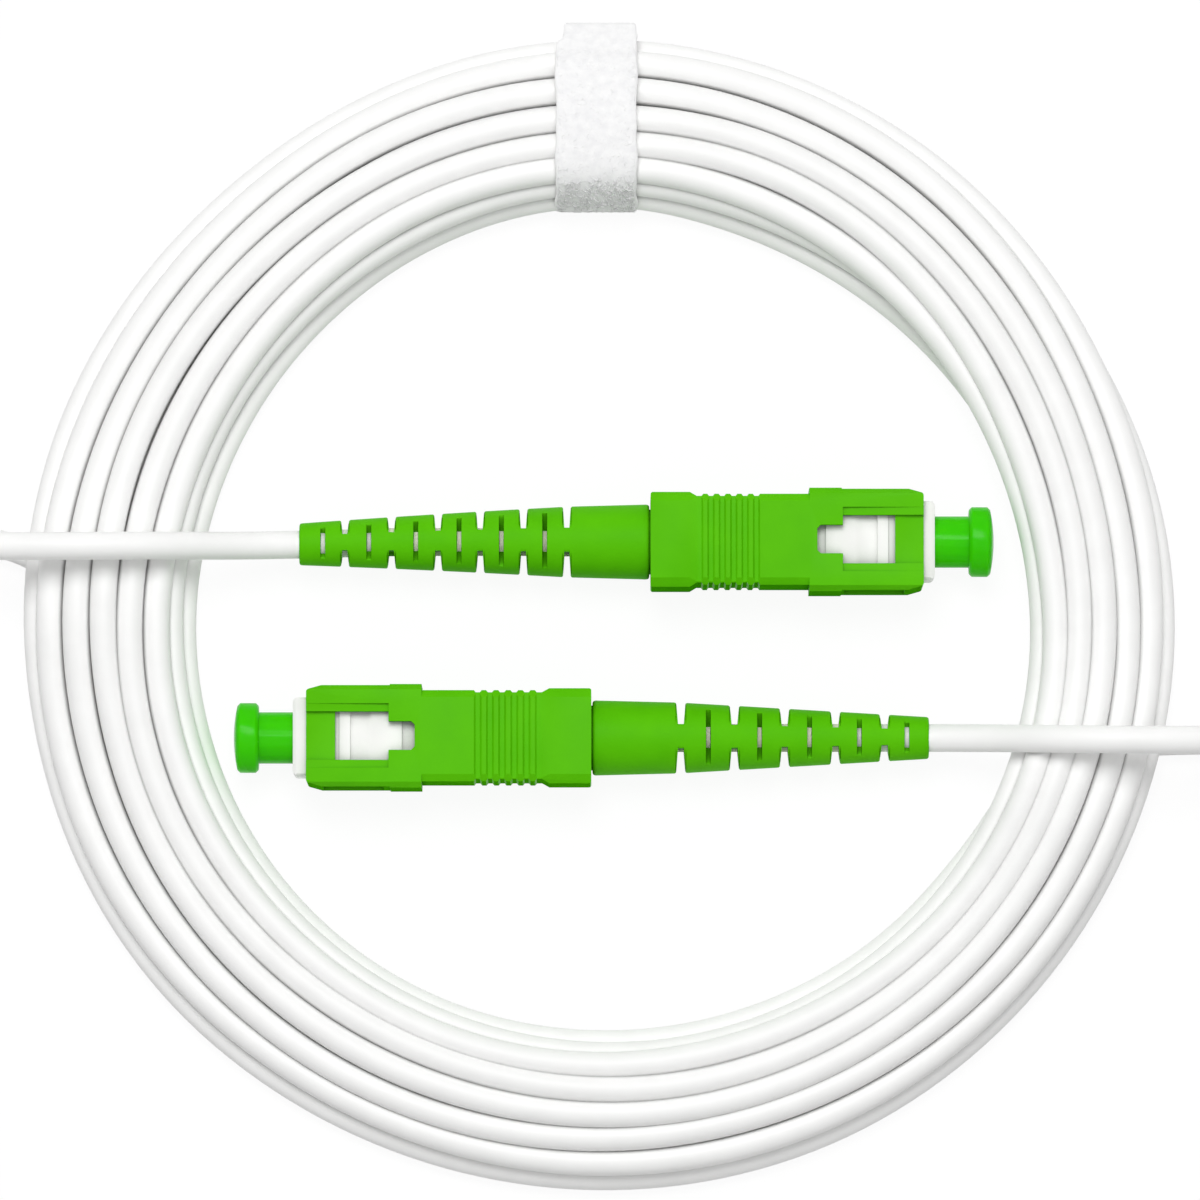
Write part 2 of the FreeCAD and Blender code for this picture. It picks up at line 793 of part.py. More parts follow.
def make_dust_cap(end):
    """Push-on cap: a tube that fits the ferrule, with a round grip flange and a domed end."""
    body = connector_body("dust_cap", end)
    bore = d.ferrule_diameter / 2 + d.fit_gap / 2
    shaft = d.cap_shaft / 2
    flange = d.cap_flange / 2
    rim = d.cap_rim
    dome_half = flange - rim
    dome_radius = (dome_half * dome_half + d.cap_dome * d.cap_dome) / (d.cap_dome * 2)
    turned(body, "cap", [
        (cap_rear, bore),
        (ferrule_tip + d.cap_tip_gap, bore),
        (ferrule_tip + d.cap_tip_gap, zero),
        (cap_front, zero, dome_radius),
        (cap_front - d.cap_dome, dome_half),
        (cap_front - d.cap_dome - rim, flange),
        (cap_shoulder + rim, flange),
        (cap_shoulder, flange - rim),
        (cap_shoulder, shaft),
        (cap_rear + rim, shaft),
        (cap_rear, shaft - rim),
    ])
    return body


def make_buffer_tube(end):
    """Buffered fibre from the cord's cut end, through the stop ring and spring, into the stem."""
    body = connector_body("buffer_tube", end)
    buffer_front = ferrule_rear - d.ferrule_travel - d.fit_gap
    turned(body, "buffer", rectangle(cord_front, buffer_front, zero, d.buffer_diameter / 2))
    return body


def make_cord_end(end):
    """The cord's own end inside the boot, from the crimp to the boot's mouth."""
    body = connector_body("cord_end", end)
    turned(body, "cord", rectangle(mouth_face, cord_front, zero, cord_radius))
    return body


for end in ("a", "b"):
    make_outer_housing(end)
    make_plug_frame(end)
    make_ferrule(end)
    make_ferrule_collar(end)
    make_ferrule_spring(end)
    make_stop_ring(end)
    make_yarn_sleeve(end)
    make_crimp_ring(end)
    make_boot(end)
    make_dust_cap(end)
    make_buffer_tube(end)
    make_cord_end(end)


# ---------------------------------------------------------------- coil and strap

coil_height = d.cord_diameter * (d.coil_row_share * (d.coil_rows - 1) + 1)
coil_top_out = d.coil_outer_y + d.coil_outer_radius
coil_top_in = d.coil_inner_y + d.coil_inner_radius
tie_out = coil_top_out - d.tie_squeeze
tie_in = coil_top_in + d.tie_squeeze
tie_top = d.tie_thick + coil_height


def wrapped(inner, outer, low, high):
    """Section of the turns inside the strap, across the ring: flat below, bevelled above."""
    bevel = d.tie_bevel
    return [
        (inner, low),
        (outer, low),
        (outer, high - bevel),
        (outer - bevel, high),
        (inner + bevel, high),
        (inner, high - bevel),
    ]


def make_cord_coil():
    """The wound turns as one ring of their outer section, drawn in where the strap holds them."""
    body = new_body("cord_coil")
    sketch = new_sketch(body, "ring", "XY_Plane")
    circle(sketch, d.coil_outer_x, d.coil_outer_y, d.coil_outer_radius)
    circle(sketch, d.coil_inner_x, d.coil_inner_y, d.coil_inner_radius)
    ring = body.newObject("PartDesign::Pad", "ring_pad")
    ring.Profile = sketch
    ring.setExpression("Length", coil_height.text)
    doc.recompute()
    middle = (d.coil_outer_radius.value + d.coil_inner_radius.value) / 2
    low = coil_height.value / 2

    def is_rim(edge, outer, upper):
        if not hasattr(edge.Curve, "Radius"):
            return False
        high = edge.CenterOfMass.z > low
        return (edge.Curve.Radius > middle) == outer and high == upper

    bevelled(body, d.coil_bevel_out, lambda edge: is_rim(edge, True, True))
    bevelled(body, d.coil_bevel_in, lambda edge: is_rim(edge, False, True))
    bevelled(body, d.coil_bevel_low, lambda edge: edge.CenterOfMass.z < 1e-3 and hasattr(edge.Curve, "Radius"))
    before = body.Shape.Volume
    sketch = new_sketch(body, "waist", "YZ_Plane", d.tie_centre)
    outline(sketch, rectangle(tie_in - past * 3, tie_out + past * 3, -past, tie_top + past))
    outline(sketch, wrapped(tie_in, tie_out, d.tie_thick + d.fit_gap, tie_top - d.fit_gap))
    cut = body.newObject("PartDesign::Pocket", "waist_cut")
    cut.Profile = sketch
    cut.setExpression("Length", (d.tie_width + d.fit_gap * 2).text)
    cut.SideType = "Symmetric"
    must_shrink(body, cut, before)
    lift = wrapped(tie_in, tie_out, coil_height / 2, tie_top - d.fit_gap)
    pad(body, "lift", "YZ_Plane", [lift], d.tie_width - d.fit_gap * 2, offset=d.tie_centre)
    return body


def make_coil_tie():
    """Hook-and-loop strap round the turns, with its free end standing past their outer side."""
    body = new_body("coil_tie")
    thick = d.tie_thick
    bend = d.tie_round
    sketch = new_sketch(body, "band", "YZ_Plane", d.tie_centre)
    low_in = tie_in - thick / 2
    low_out = tie_out + thick / 2
    tail_end = coil_top_out + d.tie_tail
    tail_low = d.tie_tail_height
    top = tie_top + thick
    outline(sketch, [
        (low_in, bend),
        (low_in + bend, zero),
        (low_out - bend, zero),
        (low_out, bend),
        (low_out, tail_low),
        (tail_end, tail_low),
        (tail_end, tail_low + thick),
        (low_out, tail_low + thick),
        (low_out, top - d.tie_bevel),
        (low_out - d.tie_bevel, top),
        (low_in + d.tie_bevel, top),
        (low_in, top - d.tie_bevel),
    ])
    outline(sketch, wrapped(tie_in - d.fit_gap, tie_out + d.fit_gap, thick, tie_top))
    band = body.newObject("PartDesign::Pad", "band_pad")
    band.Profile = sketch
    band.setExpression("Length", d.tie_width.text)
    band.SideType = "Symmetric"
    doc.recompute()
    return body


make_cord_coil()
make_coil_tie()


# ---------------------------------------------------------------- free cord leads

ARC_SHARE = 0.45
CORD_FLATS = 12
exit_x = d.housing_offset.value - d.boot_length.value
exit_y = d.connector_spacing.value / 2
exit_z = d.housing_thick.value / 2
cord_floor = d.cord_diameter.value / 2
mouth = d.mouth_depth.value

# Each lead leaves its boot, climbs over the coil, turns in a loop beyond it and comes back
# along the floor, under itself, to the coil's outer side.
LEAD_A = [
    (exit_x + mouth, exit_y, exit_z),
    (exit_x - 2.9, exit_y, exit_z),
    (-40.3, 8.35, 9.8),
    (-50.4, 8.15, 9.8),
    (-62.0, 8.1, 6.3),
    (-75.3, -6.0, 1.6),
    (-87.3, -6.2, cord_floor),
    (-95.8, 2.3, cord_floor),
    (-95.6, 14.3, cord_floor),
    (-87.0, 22.6, cord_floor),
    (-75.0, 22.1, cord_floor),
    (-62.3, 8.1, cord_floor),
    (-50.1, 8.1, cord_floor),
]
LEAD_B = [
    (-exit_x - mouth, -exit_y, exit_z),
    (-exit_x + 2.6, -exit_y, exit_z),
    (38.9, -8.5, 9.8),
    (48.6, -8.6, 9.8),
    (59.6, -8.6, 6.3),
    (72.9, 5.4, 1.6),
    (84.9, 5.6, cord_floor),
    (93.4, -2.9, cord_floor),
    (93.2, -14.9, cord_floor),
    (84.6, -23.2, cord_floor),
    (72.6, -22.7, cord_floor),
    (59.2, -8.6, cord_floor),
    (46.7, -8.6, cord_floor),
]


def cord_path(name, route):
    """Straight runs joined by tangent arcs, each as large as its two runs allow."""
    points = [FreeCAD.Vector(*spot) for spot in route]
    edges = []
    start = points[0]
    radii = []
    for before, corner, after in zip(points, points[1:], points[2:]):
        back = (before - corner)
        ahead = (after - corner)
        turn = math.pi - back.getAngle(ahead)
        reach = ARC_SHARE * min(back.Length, ahead.Length)
        radius = reach / math.tan(turn / 2)
        radii.append(round(radius, 1))
        back.normalize()
        ahead.normalize()
        inwards = (back + ahead).normalize()
        centre = corner + inwards * (radius / math.cos(turn / 2))
        arc_start = corner + back * reach
        arc_end = corner + ahead * reach
        edges.append(Part.LineSegment(start, arc_start).toShape())
        edges.append(Part.Arc(arc_start, centre - inwards * radius, arc_end).toShape())
        start = arc_end
    edges.append(Part.LineSegment(start, points[-1]).toShape())
    print(name, "bend radii", radii)
    return Part.Wire(edges)


def make_cord_lead(name, route):
    """Tube along the route; its section's many flats keep the facets few."""
    path = cord_path(name, route)
    radius = d.cord_diameter.value / 2
    start = FreeCAD.Vector(*route[0])
    turns = [math.tau * (index + 0.5) / CORD_FLATS for index in range(CORD_FLATS + 1)]
    rim = [start + FreeCAD.Vector(0, math.cos(turn), math.sin(turn)) * radius for turn in turns]
    lead = doc.addObject("Part::Feature", name)
    lead.Label = name
    lead.Shape = path.makePipeShell([Part.makePolygon(rim)], True, True)
    expected = CORD_FLATS / 2 * math.sin(math.tau / CORD_FLATS) * radius * radius * path.Length
    if abs(lead.Shape.Volume / expected - 1) > 0.01:
        raise RuntimeError(f"{name} has the wrong volume")
    print(name, "length", round(path.Length, 1))
    pieces.append(lead)
    return lead


make_cord_lead("cord_lead_a", LEAD_A)
make_cord_lead("cord_lead_b", LEAD_B)


# ---------------------------------------------------------------- check and write

doc.recompute()
for item in doc.Objects:
    if "Invalid" in item.State or "Error" in item.State:
        raise RuntimeError(f"{item.Name} did not rebuild: {item.State}")
for piece in pieces:
    if piece.Shape.isNull() or not piece.Shape.isValid() or len(piece.Shape.Solids) != 1:
        raise RuntimeError(f"{piece.Label} is not one valid solid")
for piece in pieces:
    piece.Shape.exportStep(f"parts/{piece.Label}.step")
print(len(pieces), "pieces written")
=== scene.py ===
import math

import bmesh
import bpy
import numpy as np
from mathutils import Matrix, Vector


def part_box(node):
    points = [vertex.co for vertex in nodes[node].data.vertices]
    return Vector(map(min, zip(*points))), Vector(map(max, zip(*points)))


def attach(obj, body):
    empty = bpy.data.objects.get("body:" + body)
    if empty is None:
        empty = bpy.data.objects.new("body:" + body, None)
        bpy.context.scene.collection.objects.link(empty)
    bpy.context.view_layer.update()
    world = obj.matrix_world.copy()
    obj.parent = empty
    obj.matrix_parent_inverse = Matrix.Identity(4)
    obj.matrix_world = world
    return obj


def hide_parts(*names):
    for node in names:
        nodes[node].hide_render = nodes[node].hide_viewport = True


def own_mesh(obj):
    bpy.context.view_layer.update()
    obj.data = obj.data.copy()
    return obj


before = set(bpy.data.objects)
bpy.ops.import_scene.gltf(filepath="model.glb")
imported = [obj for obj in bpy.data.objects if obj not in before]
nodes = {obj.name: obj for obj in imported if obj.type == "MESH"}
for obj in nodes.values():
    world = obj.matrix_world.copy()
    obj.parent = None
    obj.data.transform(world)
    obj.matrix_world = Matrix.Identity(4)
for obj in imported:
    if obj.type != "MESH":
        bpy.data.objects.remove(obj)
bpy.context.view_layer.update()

mm = 0.001


# 3t^2 - 2t^3 between 0 and 1, level outside.
def smoothStep(t):
    t = np.clip(t, 0, 1)
    return t * t * (3 - 2 * t)


# cos^2 of a quarter turn spread over the reach, 0 beyond it.
def hump(distance, reach):
    return np.cos(np.pi / 2 * np.clip(np.abs(distance) / reach, 0, 1)) ** 2


# How far an edge rounded to a quarter ellipse has drawn in: 1 at its outermost line, 0 from the reach on.
def roundedEdge(distance, reach):
    return 1 - np.sqrt(1 - (1 - np.clip(distance / reach, 0, 1)) ** 2)


# An object of the given data in the scene.
def placed(name, data):
    item = bpy.data.objects.new(name, data)
    bpy.context.scene.collection.objects.link(item)
    return item


# A smooth mesh object from an array of points and a list of face arrays.
def meshFrom(name, points, faces):
    mesh = bpy.data.meshes.new(name)
    mesh.from_pydata(points.tolist(), [], [face for group in faces for face in group.tolist()])
    mesh.polygons.foreach_set("use_smooth", [True] * len(mesh.polygons))
    mesh.update()
    return placed(name, mesh)


# Turns every face of a closed piece outwards.
def facingOut(piece):
    build = bmesh.new()
    build.from_mesh(piece.data)
    bmesh.ops.recalc_face_normals(build, faces=build.faces)
    build.to_mesh(piece.data)
    build.free()


# Four-cornered faces of a rows x columns grid of points, wrapped where it closes.
def gridFaces(rows, columns, closedRows, closedColumns, first=0):
    i = np.arange(rows if closedRows else rows - 1)
    j = np.arange(columns if closedColumns else columns - 1)
    i, j = np.meshgrid(i, j, indexing="ij")
    nextI, nextJ = (i + 1) % rows, (j + 1) % columns
    corners = [i * columns + j, i * columns + nextJ, nextI * columns + nextJ, nextI * columns + j]
    return np.stack(corners, axis=-1).reshape(-1, 4) + first


cameraSet = {
    "middle": (-1.2 * mm, 3.45 * mm, 3.7 * mm),   # point that it looks at
    "away": 1148.0 * mm,
    "lean": math.radians(4.0),                    # from straight above, towards -Y
    "lens": 400.0,
    "sensor": 36.0,
    "clip": (0.05, 50.0),
}


# The camera stands away from its middle point, along a line that leans by an angle from straight above.
def makeCamera():
    data = bpy.data.cameras.new("camera")
    data.lens = cameraSet["lens"]
    data.sensor_width = cameraSet["sensor"]
    data.clip_start, data.clip_end = cameraSet["clip"]
    camera = placed("camera", data)
    x, y, z = cameraSet["middle"]
    away, lean = cameraSet["away"], cameraSet["lean"]
    camera.location = (x, y - away * math.sin(lean), z + away * math.cos(lean))
    camera.rotation_euler = (lean, 0, 0)
    bpy.context.scene.camera = camera


makeCamera()
print("camera set")


# Control points of the cord's two leads, in metres: out of the boot, over the coil, and back under it.
leadA = [
    (-0.0203, 0.00842, 0.0037), (-0.0300, 0.0081, 0.0037), (-0.0403, 0.00772, 0.0098),
    (-0.0504, 0.00765, 0.0098), (-0.0620, 0.0079, 0.0063), (-0.0753, -0.0060, 0.0016),
    (-0.0873, -0.0062, 0.0012), (-0.0956, 0.0023, 0.0012), (-0.0955, 0.0143, 0.0012),
    (-0.0870, 0.0226, 0.0012), (-0.0760, 0.0216, 0.0012), (-0.0680, 0.0139, 0.0012),
    (-0.0608, 0.0096, 0.0012), (-0.0542, 0.0089, 0.0012), (-0.0496, 0.0074, 0.0012),
    (-0.0462, 0.0042, 0.0012), (-0.0445, -0.0002, 0.0012),
]
leadB = [
    (0.0342, -0.0136, 0.0012), (0.0379, -0.0104, 0.0012), (0.0426, -0.0089, 0.0012),
    (0.0486, -0.0085, 0.0012), (0.0592, -0.0086, 0.0012), (0.0726, -0.0227, 0.0012),
    (0.0846, -0.0232, 0.0012), (0.0931, -0.0149, 0.0012), (0.0932, -0.0029, 0.0012),
    (0.0849, 0.0056, 0.0012), (0.0729, 0.0054, 0.0016), (0.0596, -0.0086, 0.0063),
    (0.0486, -0.0090, 0.0098), (0.0389, -0.0089, 0.0098), (0.0297, -0.00845, 0.0037),
    (0.0203, -0.00845, 0.0037),
]
cordSet = {
    "diameter": 2.4 * mm,
    "centre": (-0.8 * mm, 2.0 * mm),   # middle that the turns go round
    "pointsPerTurn": 24,
    "startDegree": 190.0,              # where lead a has sunk into the pile
    "endDegree": 327.0,                # where the last turn leaves for lead b
    "stepDegrees": 78.0,               # how far round a turn a strand has moved over to its next place
    "lateStep": (11, 36.0),            # turn that begins to move over later, and the degree
    "shortStep": (1, 42.0),            # turn that has moved over sooner, and the degree
    # waves of a strand, sideways and upwards: size in mm, waves in a turn, shift from turn to turn
    "sideWaves": ((0.10, 3, 2.1), (0.07, 5, 4.3)),
    "riseWave": (0.06, 4, 1.7),
    "riseAbove": 1.3 * mm,             # strands lower than this lie flat on the floor
    "strapDegree": 91.2,
    "strapHalf": (17, 11),             # degrees from there at which the pinch ends, and over which it fades
    "strapInner": 36.75 * mm,          # innermost centreline inside the strap
    "strapSpread": 11.15 * mm,         # from there to the outermost one
    "strapEase": ((6.5, 11.85), (0.0, 1.05)),   # outer strands lie looser there: place and added radius, mm
    "strapLift": 2.2 * mm,             # height of the lowest strands on the strap
    "strapPress": 0.91,                # height that the strands above keep
    "crossingReach": 9.0 * mm,         # how far the turns are lifted round a sunk lead
    "crossingPress": 0.18,             # how much less of it the strands high in the pile are lifted
    "crossingA": 250,                  # the turns lie over lead a from this degree on
    "crossingB": 77,                   # and over lead b until this far from their end
}
# Where the leads' sunk ends lie under the turns: x and y in mm, and the share of the full lift there.
sunkA = np.array([
    (-58, 8.8, 1), (-54, 8.8, 1), (-51, 8.1, 1), (-48.6, 6.6, 1), (-46.4, 4.6, 1), (-45.2, 2.0, 0.9),
    (-44.5, -0.5, 0.45),
])
sunkB = np.array([
    (33.6, -14, 0.25), (35, -12.2, 0.65), (37.2, -10.8, 0.95), (39.9, -9.6, 1), (43, -8.9, 1), (46, -8.6, 1),
    (52, -8.5, 1),
])
# Places of the strands across the pile, in mm from its inner edge and above the floor, in the order wound.
strandPlaces = np.array([
    (8.28, 1.2), (6.95, 3.1), (4.6, 3.1), (2.2, 3.3), (3.25, 4.95), (5.35, 5.1), (7.55, 5.0),
    (9.75, 4.3), (11.85, 3.35), (13.05, 1.2), (10.64, 1.2), (5.92, 1.2), (3.56, 1.2), (1.2, 1.2),
]) * mm
# Edges of the pile every 15 degrees round it, in mm from its middle.
innerEdge = np.array([
    35.7, 35.2, 34.8, 34.8, 34.95, 35.2, 35.3, 35.3, 35.1, 34.9, 34.9, 34.95,
    35.3, 35.45, 35.6, 35.55, 35.5, 35.5, 35.6, 35.75, 35.9, 36.15, 36.3, 36.1,
]) * mm
outerEdge = np.array([
    49.2, 49.1, 49.1, 49.5, 49.8, 50.0, 50.2, 50.2, 49.8, 49.4, 49.7, 50.1,
    50.1, 50.2, 50.3, 50.0, 49.5, 49.3, 49.2, 49.2, 49.3, 49.3, 49.4, 49.3,
]) * mm


# A value listed evenly round the circle, straight between its neighbours.
def around(degrees, values):
    marks = np.arange(len(values) + 1) * 360 / len(values)
    return np.interp(degrees % 360, marks, np.append(values, values[0]))


# How much the turns rise over a sunk lead: the largest hump of the distance to its points.
def liftOver(x, y, sunk):
    places = sunk[:, :2] * mm
    distance = np.hypot(x[:, None] - places[None, :, 0], y[:, None] - places[None, :, 1])
    return (hump(distance, cordSet["crossingReach"]) * sunk[:, 2]).max(axis=1)


# Control points of the turns. A strand's radius and height come from its place in the pile; after
# each full turn it moves over to the next place by a smooth step. The strap pinches the pile and
# lifts it by its own thickness, and the turns rise where a lead lies under them.
def turnPoints():
    diameter = cordSet["diameter"]
    radius0 = diameter / 2
    stepAngle = 360 / cordSet["pointsPerTurn"]
    lastDegree = 360.0 * (len(strandPlaces) - 1) + cordSet["endDegree"]
    count = int(round((lastDegree - cordSet["startDegree"]) / stepAngle)) + 1
    degrees = np.linspace(cordSet["startDegree"], lastDegree, count)
    turn = (degrees // 360).astype(int)
    local = degrees % 360
    lateTurn, lateDegree = cordSet["lateStep"]
    shortTurn, shortDegree = cordSet["shortStep"]
    began = np.where(turn == lateTurn, lateDegree, 0.0)
    ended = np.where(turn == shortTurn, shortDegree, cordSet["stepDegrees"])
    share = smoothStep((local - began) / (ended - began))[:, None]
    place = strandPlaces[np.maximum(turn - 1, 0)] * (1 - share) + strandPlaces[turn] * share
    across = (place[:, 0] - radius0) / (strandPlaces[:, 0].max() - radius0)
    height = place[:, 1]
    inner, outer = around(degrees, innerEdge), around(degrees, outerEdge)
    angle = np.radians(local)
    radius = inner + radius0 + across * (outer - inner - diameter)
    sideways = sum(size * np.sin(waves * angle + turn * shift) for size, waves, shift in cordSet["sideWaves"])
    radius = radius + sideways * mm
    size, waves, shift = cordSet["riseWave"]
    height = height + size * mm * np.sin(waves * angle + turn * shift) * (height > cordSet["riseAbove"])
    pinchEnd, pinchFade = cordSet["strapHalf"]
    pinch = smoothStep((pinchEnd - np.abs(local - cordSet["strapDegree"])) / pinchFade)
    ease = np.interp(place[:, 0] / mm, *cordSet["strapEase"]) * mm
    radius = radius * (1 - pinch) + (cordSet["strapInner"] + across * cordSet["strapSpread"] + ease) * pinch
    height = height * (1 - pinch) + (cordSet["strapLift"] + (height - radius0) * cordSet["strapPress"]) * pinch
    centreX, centreY = cordSet["centre"]
    x = centreX + radius * np.cos(angle)
    y = centreY + radius * np.sin(angle)
    liftA = np.where(degrees < cordSet["crossingA"], 0, liftOver(x, y, sunkA))
    liftB = np.where(degrees > lastDegree - cordSet["crossingB"], 0, liftOver(x, y, sunkB))
    height = height + np.maximum(liftA, liftB) * (diameter - cordSet["crossingPress"] * (height - radius0))
    # a quadratic spline runs this much inside its points
    grow = 1 / (0.75 + 0.25 * math.cos(math.radians(stepAngle)))
    return np.column_stack([centreX + (x - centreX) * grow, centreY + (y - centreY) * grow, height])


# The cord is one quadratic spline through lead a, the turns and lead b, with a round section.
def makeCord():
    points = np.vstack([leadA, turnPoints(), leadB])
    curve = bpy.data.curves.new("cord", "CURVE")
    curve.dimensions = "3D"
    curve.twist_mode = "MINIMUM"
    spline = curve.splines.new("NURBS")
    spline.points.add(len(points) - 1)
    spline.points.foreach_set("co", np.column_stack([points, np.ones(len(points))]).ravel())
    spline.points.foreach_set("radius", np.full(len(points), cordSet["diameter"] / 2))   # times a depth of 1
    spline.order_u = 3
    spline.use_endpoint_u = True
    spline.resolution_u = 8
    curve.resolution_u = 8
    curve.bevel_depth = 1.0
    curve.bevel_resolution = 6
    curve.use_fill_caps = True
    cord = placed("cord", curve)
    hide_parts("cord_lead_a", "cord_lead_b", "cord_coil")
    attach(cord, "cord")
    return cord


cord = makeCord()
print("cord wound")


strapSet = {
    "x": -1.52 * mm,
    "width": 7.0 * mm,
    "thick": 0.66 * mm,
    "edgeWaves": ((0.05, 5, 0), (0.04, 11, 1)),   # of the band's width: size in mm, waves round it, shift
    "tailNarrow": 0.66 * mm,      # how much the band's left side draws in towards the tail
    "tailFrom": 51.3 * mm,        # place along Y where it begins, and how far it takes
    "tailOver": 0.8 * mm,
    "tailRows": 17,
    "tailWidth": (0.93, 0.07),    # share of the width that the tail keeps at its end, and the rest
    "stations": 150,
    "sectionPoints": 24,
    "floorGap": 0.02 * mm,
}
fibreSet = {
    "seed": 7,
    "count": 2600,
    "above": 1.2 * mm,            # none lower than this over the floor
    "edge": 0.15 * mm,            # none nearer to the band's sides
    "thick": 0.020 * mm,
    "length": 0.50 * mm,
    "arch": 0.48,                 # four times the height of the arc, as a share of its length
    "taper": (1, 1, 0.9, 0.7, 0.4),
    "floorGap": 0.06 * mm,
    # longer ones where the band turns down at its inner side
    "end": {
        "count": 300, "before": 39.6 * mm, "above": 2.9 * mm, "thick": 0.036 * mm, "length": 0.80 * mm, "arch": 1.3,
    },
}
# Middle line of the strap round the pile, in mm along Y and Z, closed, and of the free tail that leaves it.
strapLine = np.array([
    (41.0, 0.35), (45.0, 0.35), (50.2, 0.35), (52.25, 0.7), (52.55, 2.3), (51.95, 4.3), (50.4, 5.95),
    (48.3, 6.9), (45.3, 7.45), (42.8, 7.52), (40.8, 7.4), (39.4, 6.8), (38.35, 5.1), (37.65, 3.0),
    (37.45, 1.2), (38.1, 0.35),
]) * mm
strapTail = np.array([(50.0, 6.0), (50.9, 5.45), (51.8, 4.95), (52.6, 4.5), (53.35, 4.12)]) * mm


# Even samples of the closed quadratic B-spline through the middles of the points' sides.
def closedCurve(points, count):
    t = np.linspace(0, len(points), count, endpoint=False)
    i = t.astype(int)
    f = (t - i)[:, None]
    a, b, c = points[i - 1], points[i % len(points)], points[(i + 1) % len(points)]
    return (a + b) / 2 * (1 - f) ** 2 + b * 2 * f * (1 - f) + (b + c) / 2 * f ** 2


# A flat section with rounded edges: |x/w|^10 + |z/t|^4 = 1, as sign and power of cos and sin.
def stripSection(count, halfWidth, halfThick):
    angle = np.linspace(0, 2 * np.pi, count, endpoint=False) + np.pi / count
    c, s = np.cos(angle), np.sin(angle)
    wide, thick = np.sign(c) * np.abs(c) ** (2 / 10), np.sign(s) * np.abs(s) ** (2 / 4)
    return np.column_stack([wide * halfWidth, thick * halfThick])


# The strip's section carried along a line in the Y-Z plane, standing across it.
def carried(line, middles, halfWidths, halfThicks, count, closed):
    if closed:
        ahead, behind = np.roll(line, -1, axis=0), np.roll(line, 1, axis=0)
    else:
        ahead, behind = np.vstack([line[1:], line[-1:]]), np.vstack([line[:1], line[:-1]])
    along = ahead - behind
    along /= np.linalg.norm(along, axis=1)[:, None]
    out = np.column_stack([along[:, 1], -along[:, 0]])
    section = stripSection(count, 1.0, 1.0)
    x = middles[:, None] + section[None, :, 0] * halfWidths[:, None]
    lift = section[None, :, 1] * halfThicks[:, None]
    y = line[:, None, 0] + out[:, None, 0] * lift
    z = line[:, None, 1] + out[:, None, 1] * lift
    return np.stack([x, y, z], axis=-1), out


# How far the band's left side has drawn in at places along Y, as a half.
def drawnIn(places):
    return smoothStep((places - strapSet["tailFrom"]) / strapSet["tailOver"]) * strapSet["tailNarrow"] / 2


# The band is the section carried round the closed line, its half width waving a little, and the tail
# is the section carried along an open line, thinner at its end by the root of 1 - t^8.
def makeStrap():
    rows, columns = strapSet["stations"], strapSet["sectionPoints"]
    line = closedCurve(strapLine, rows)
    along = np.linspace(0, 2 * np.pi, rows, endpoint=False)
    halfWidth = strapSet["width"] / 2
    for size, waves, shift in strapSet["edgeWaves"]:
        halfWidth = halfWidth + size * mm * np.sin(waves * along + shift)
    drawn = drawnIn(line[:, 0])
    halfThick = np.full(rows, strapSet["thick"] / 2)
    middles, halfWidth = strapSet["x"] + drawn, halfWidth - drawn
    band, out = carried(line, middles, halfWidth, halfThick, columns, True)
    band[..., 2] = np.maximum(band[..., 2], strapSet["floorGap"])
    tailRows = strapSet["tailRows"]
    share = np.linspace(0, 1, tailRows)
    marks = np.arange(len(strapTail))
    tailLine = np.column_stack([np.interp(share * marks[-1], marks, strapTail[:, k]) for k in (0, 1)])
    taper = np.sqrt(np.clip(1 - share ** 8, 0.02, 1))
    tailDrawn = drawnIn(tailLine[:, 0])
    kept, rest = strapSet["tailWidth"]
    tailWidth = (strapSet["width"] / 2 - tailDrawn) * (kept + rest * taper)
    tailThick = strapSet["thick"] / 2 * taper
    tail, _ = carried(tailLine, strapSet["x"] + tailDrawn, tailWidth, tailThick, columns, False)
    first, last = rows * columns, (tailRows - 1) * columns
    faces = [gridFaces(rows, columns, True, True), gridFaces(tailRows, columns, False, True, first)]
    ends = [np.arange(columns)[None, ::-1] + first, np.arange(columns)[None, :] + first + last]
    strap = meshFrom("strap", np.vstack([band.reshape(-1, 3), tail.reshape(-1, 3)]), faces + ends)
    facingOut(strap)
    return strap, makeFibres(line, out, middles, halfWidth)


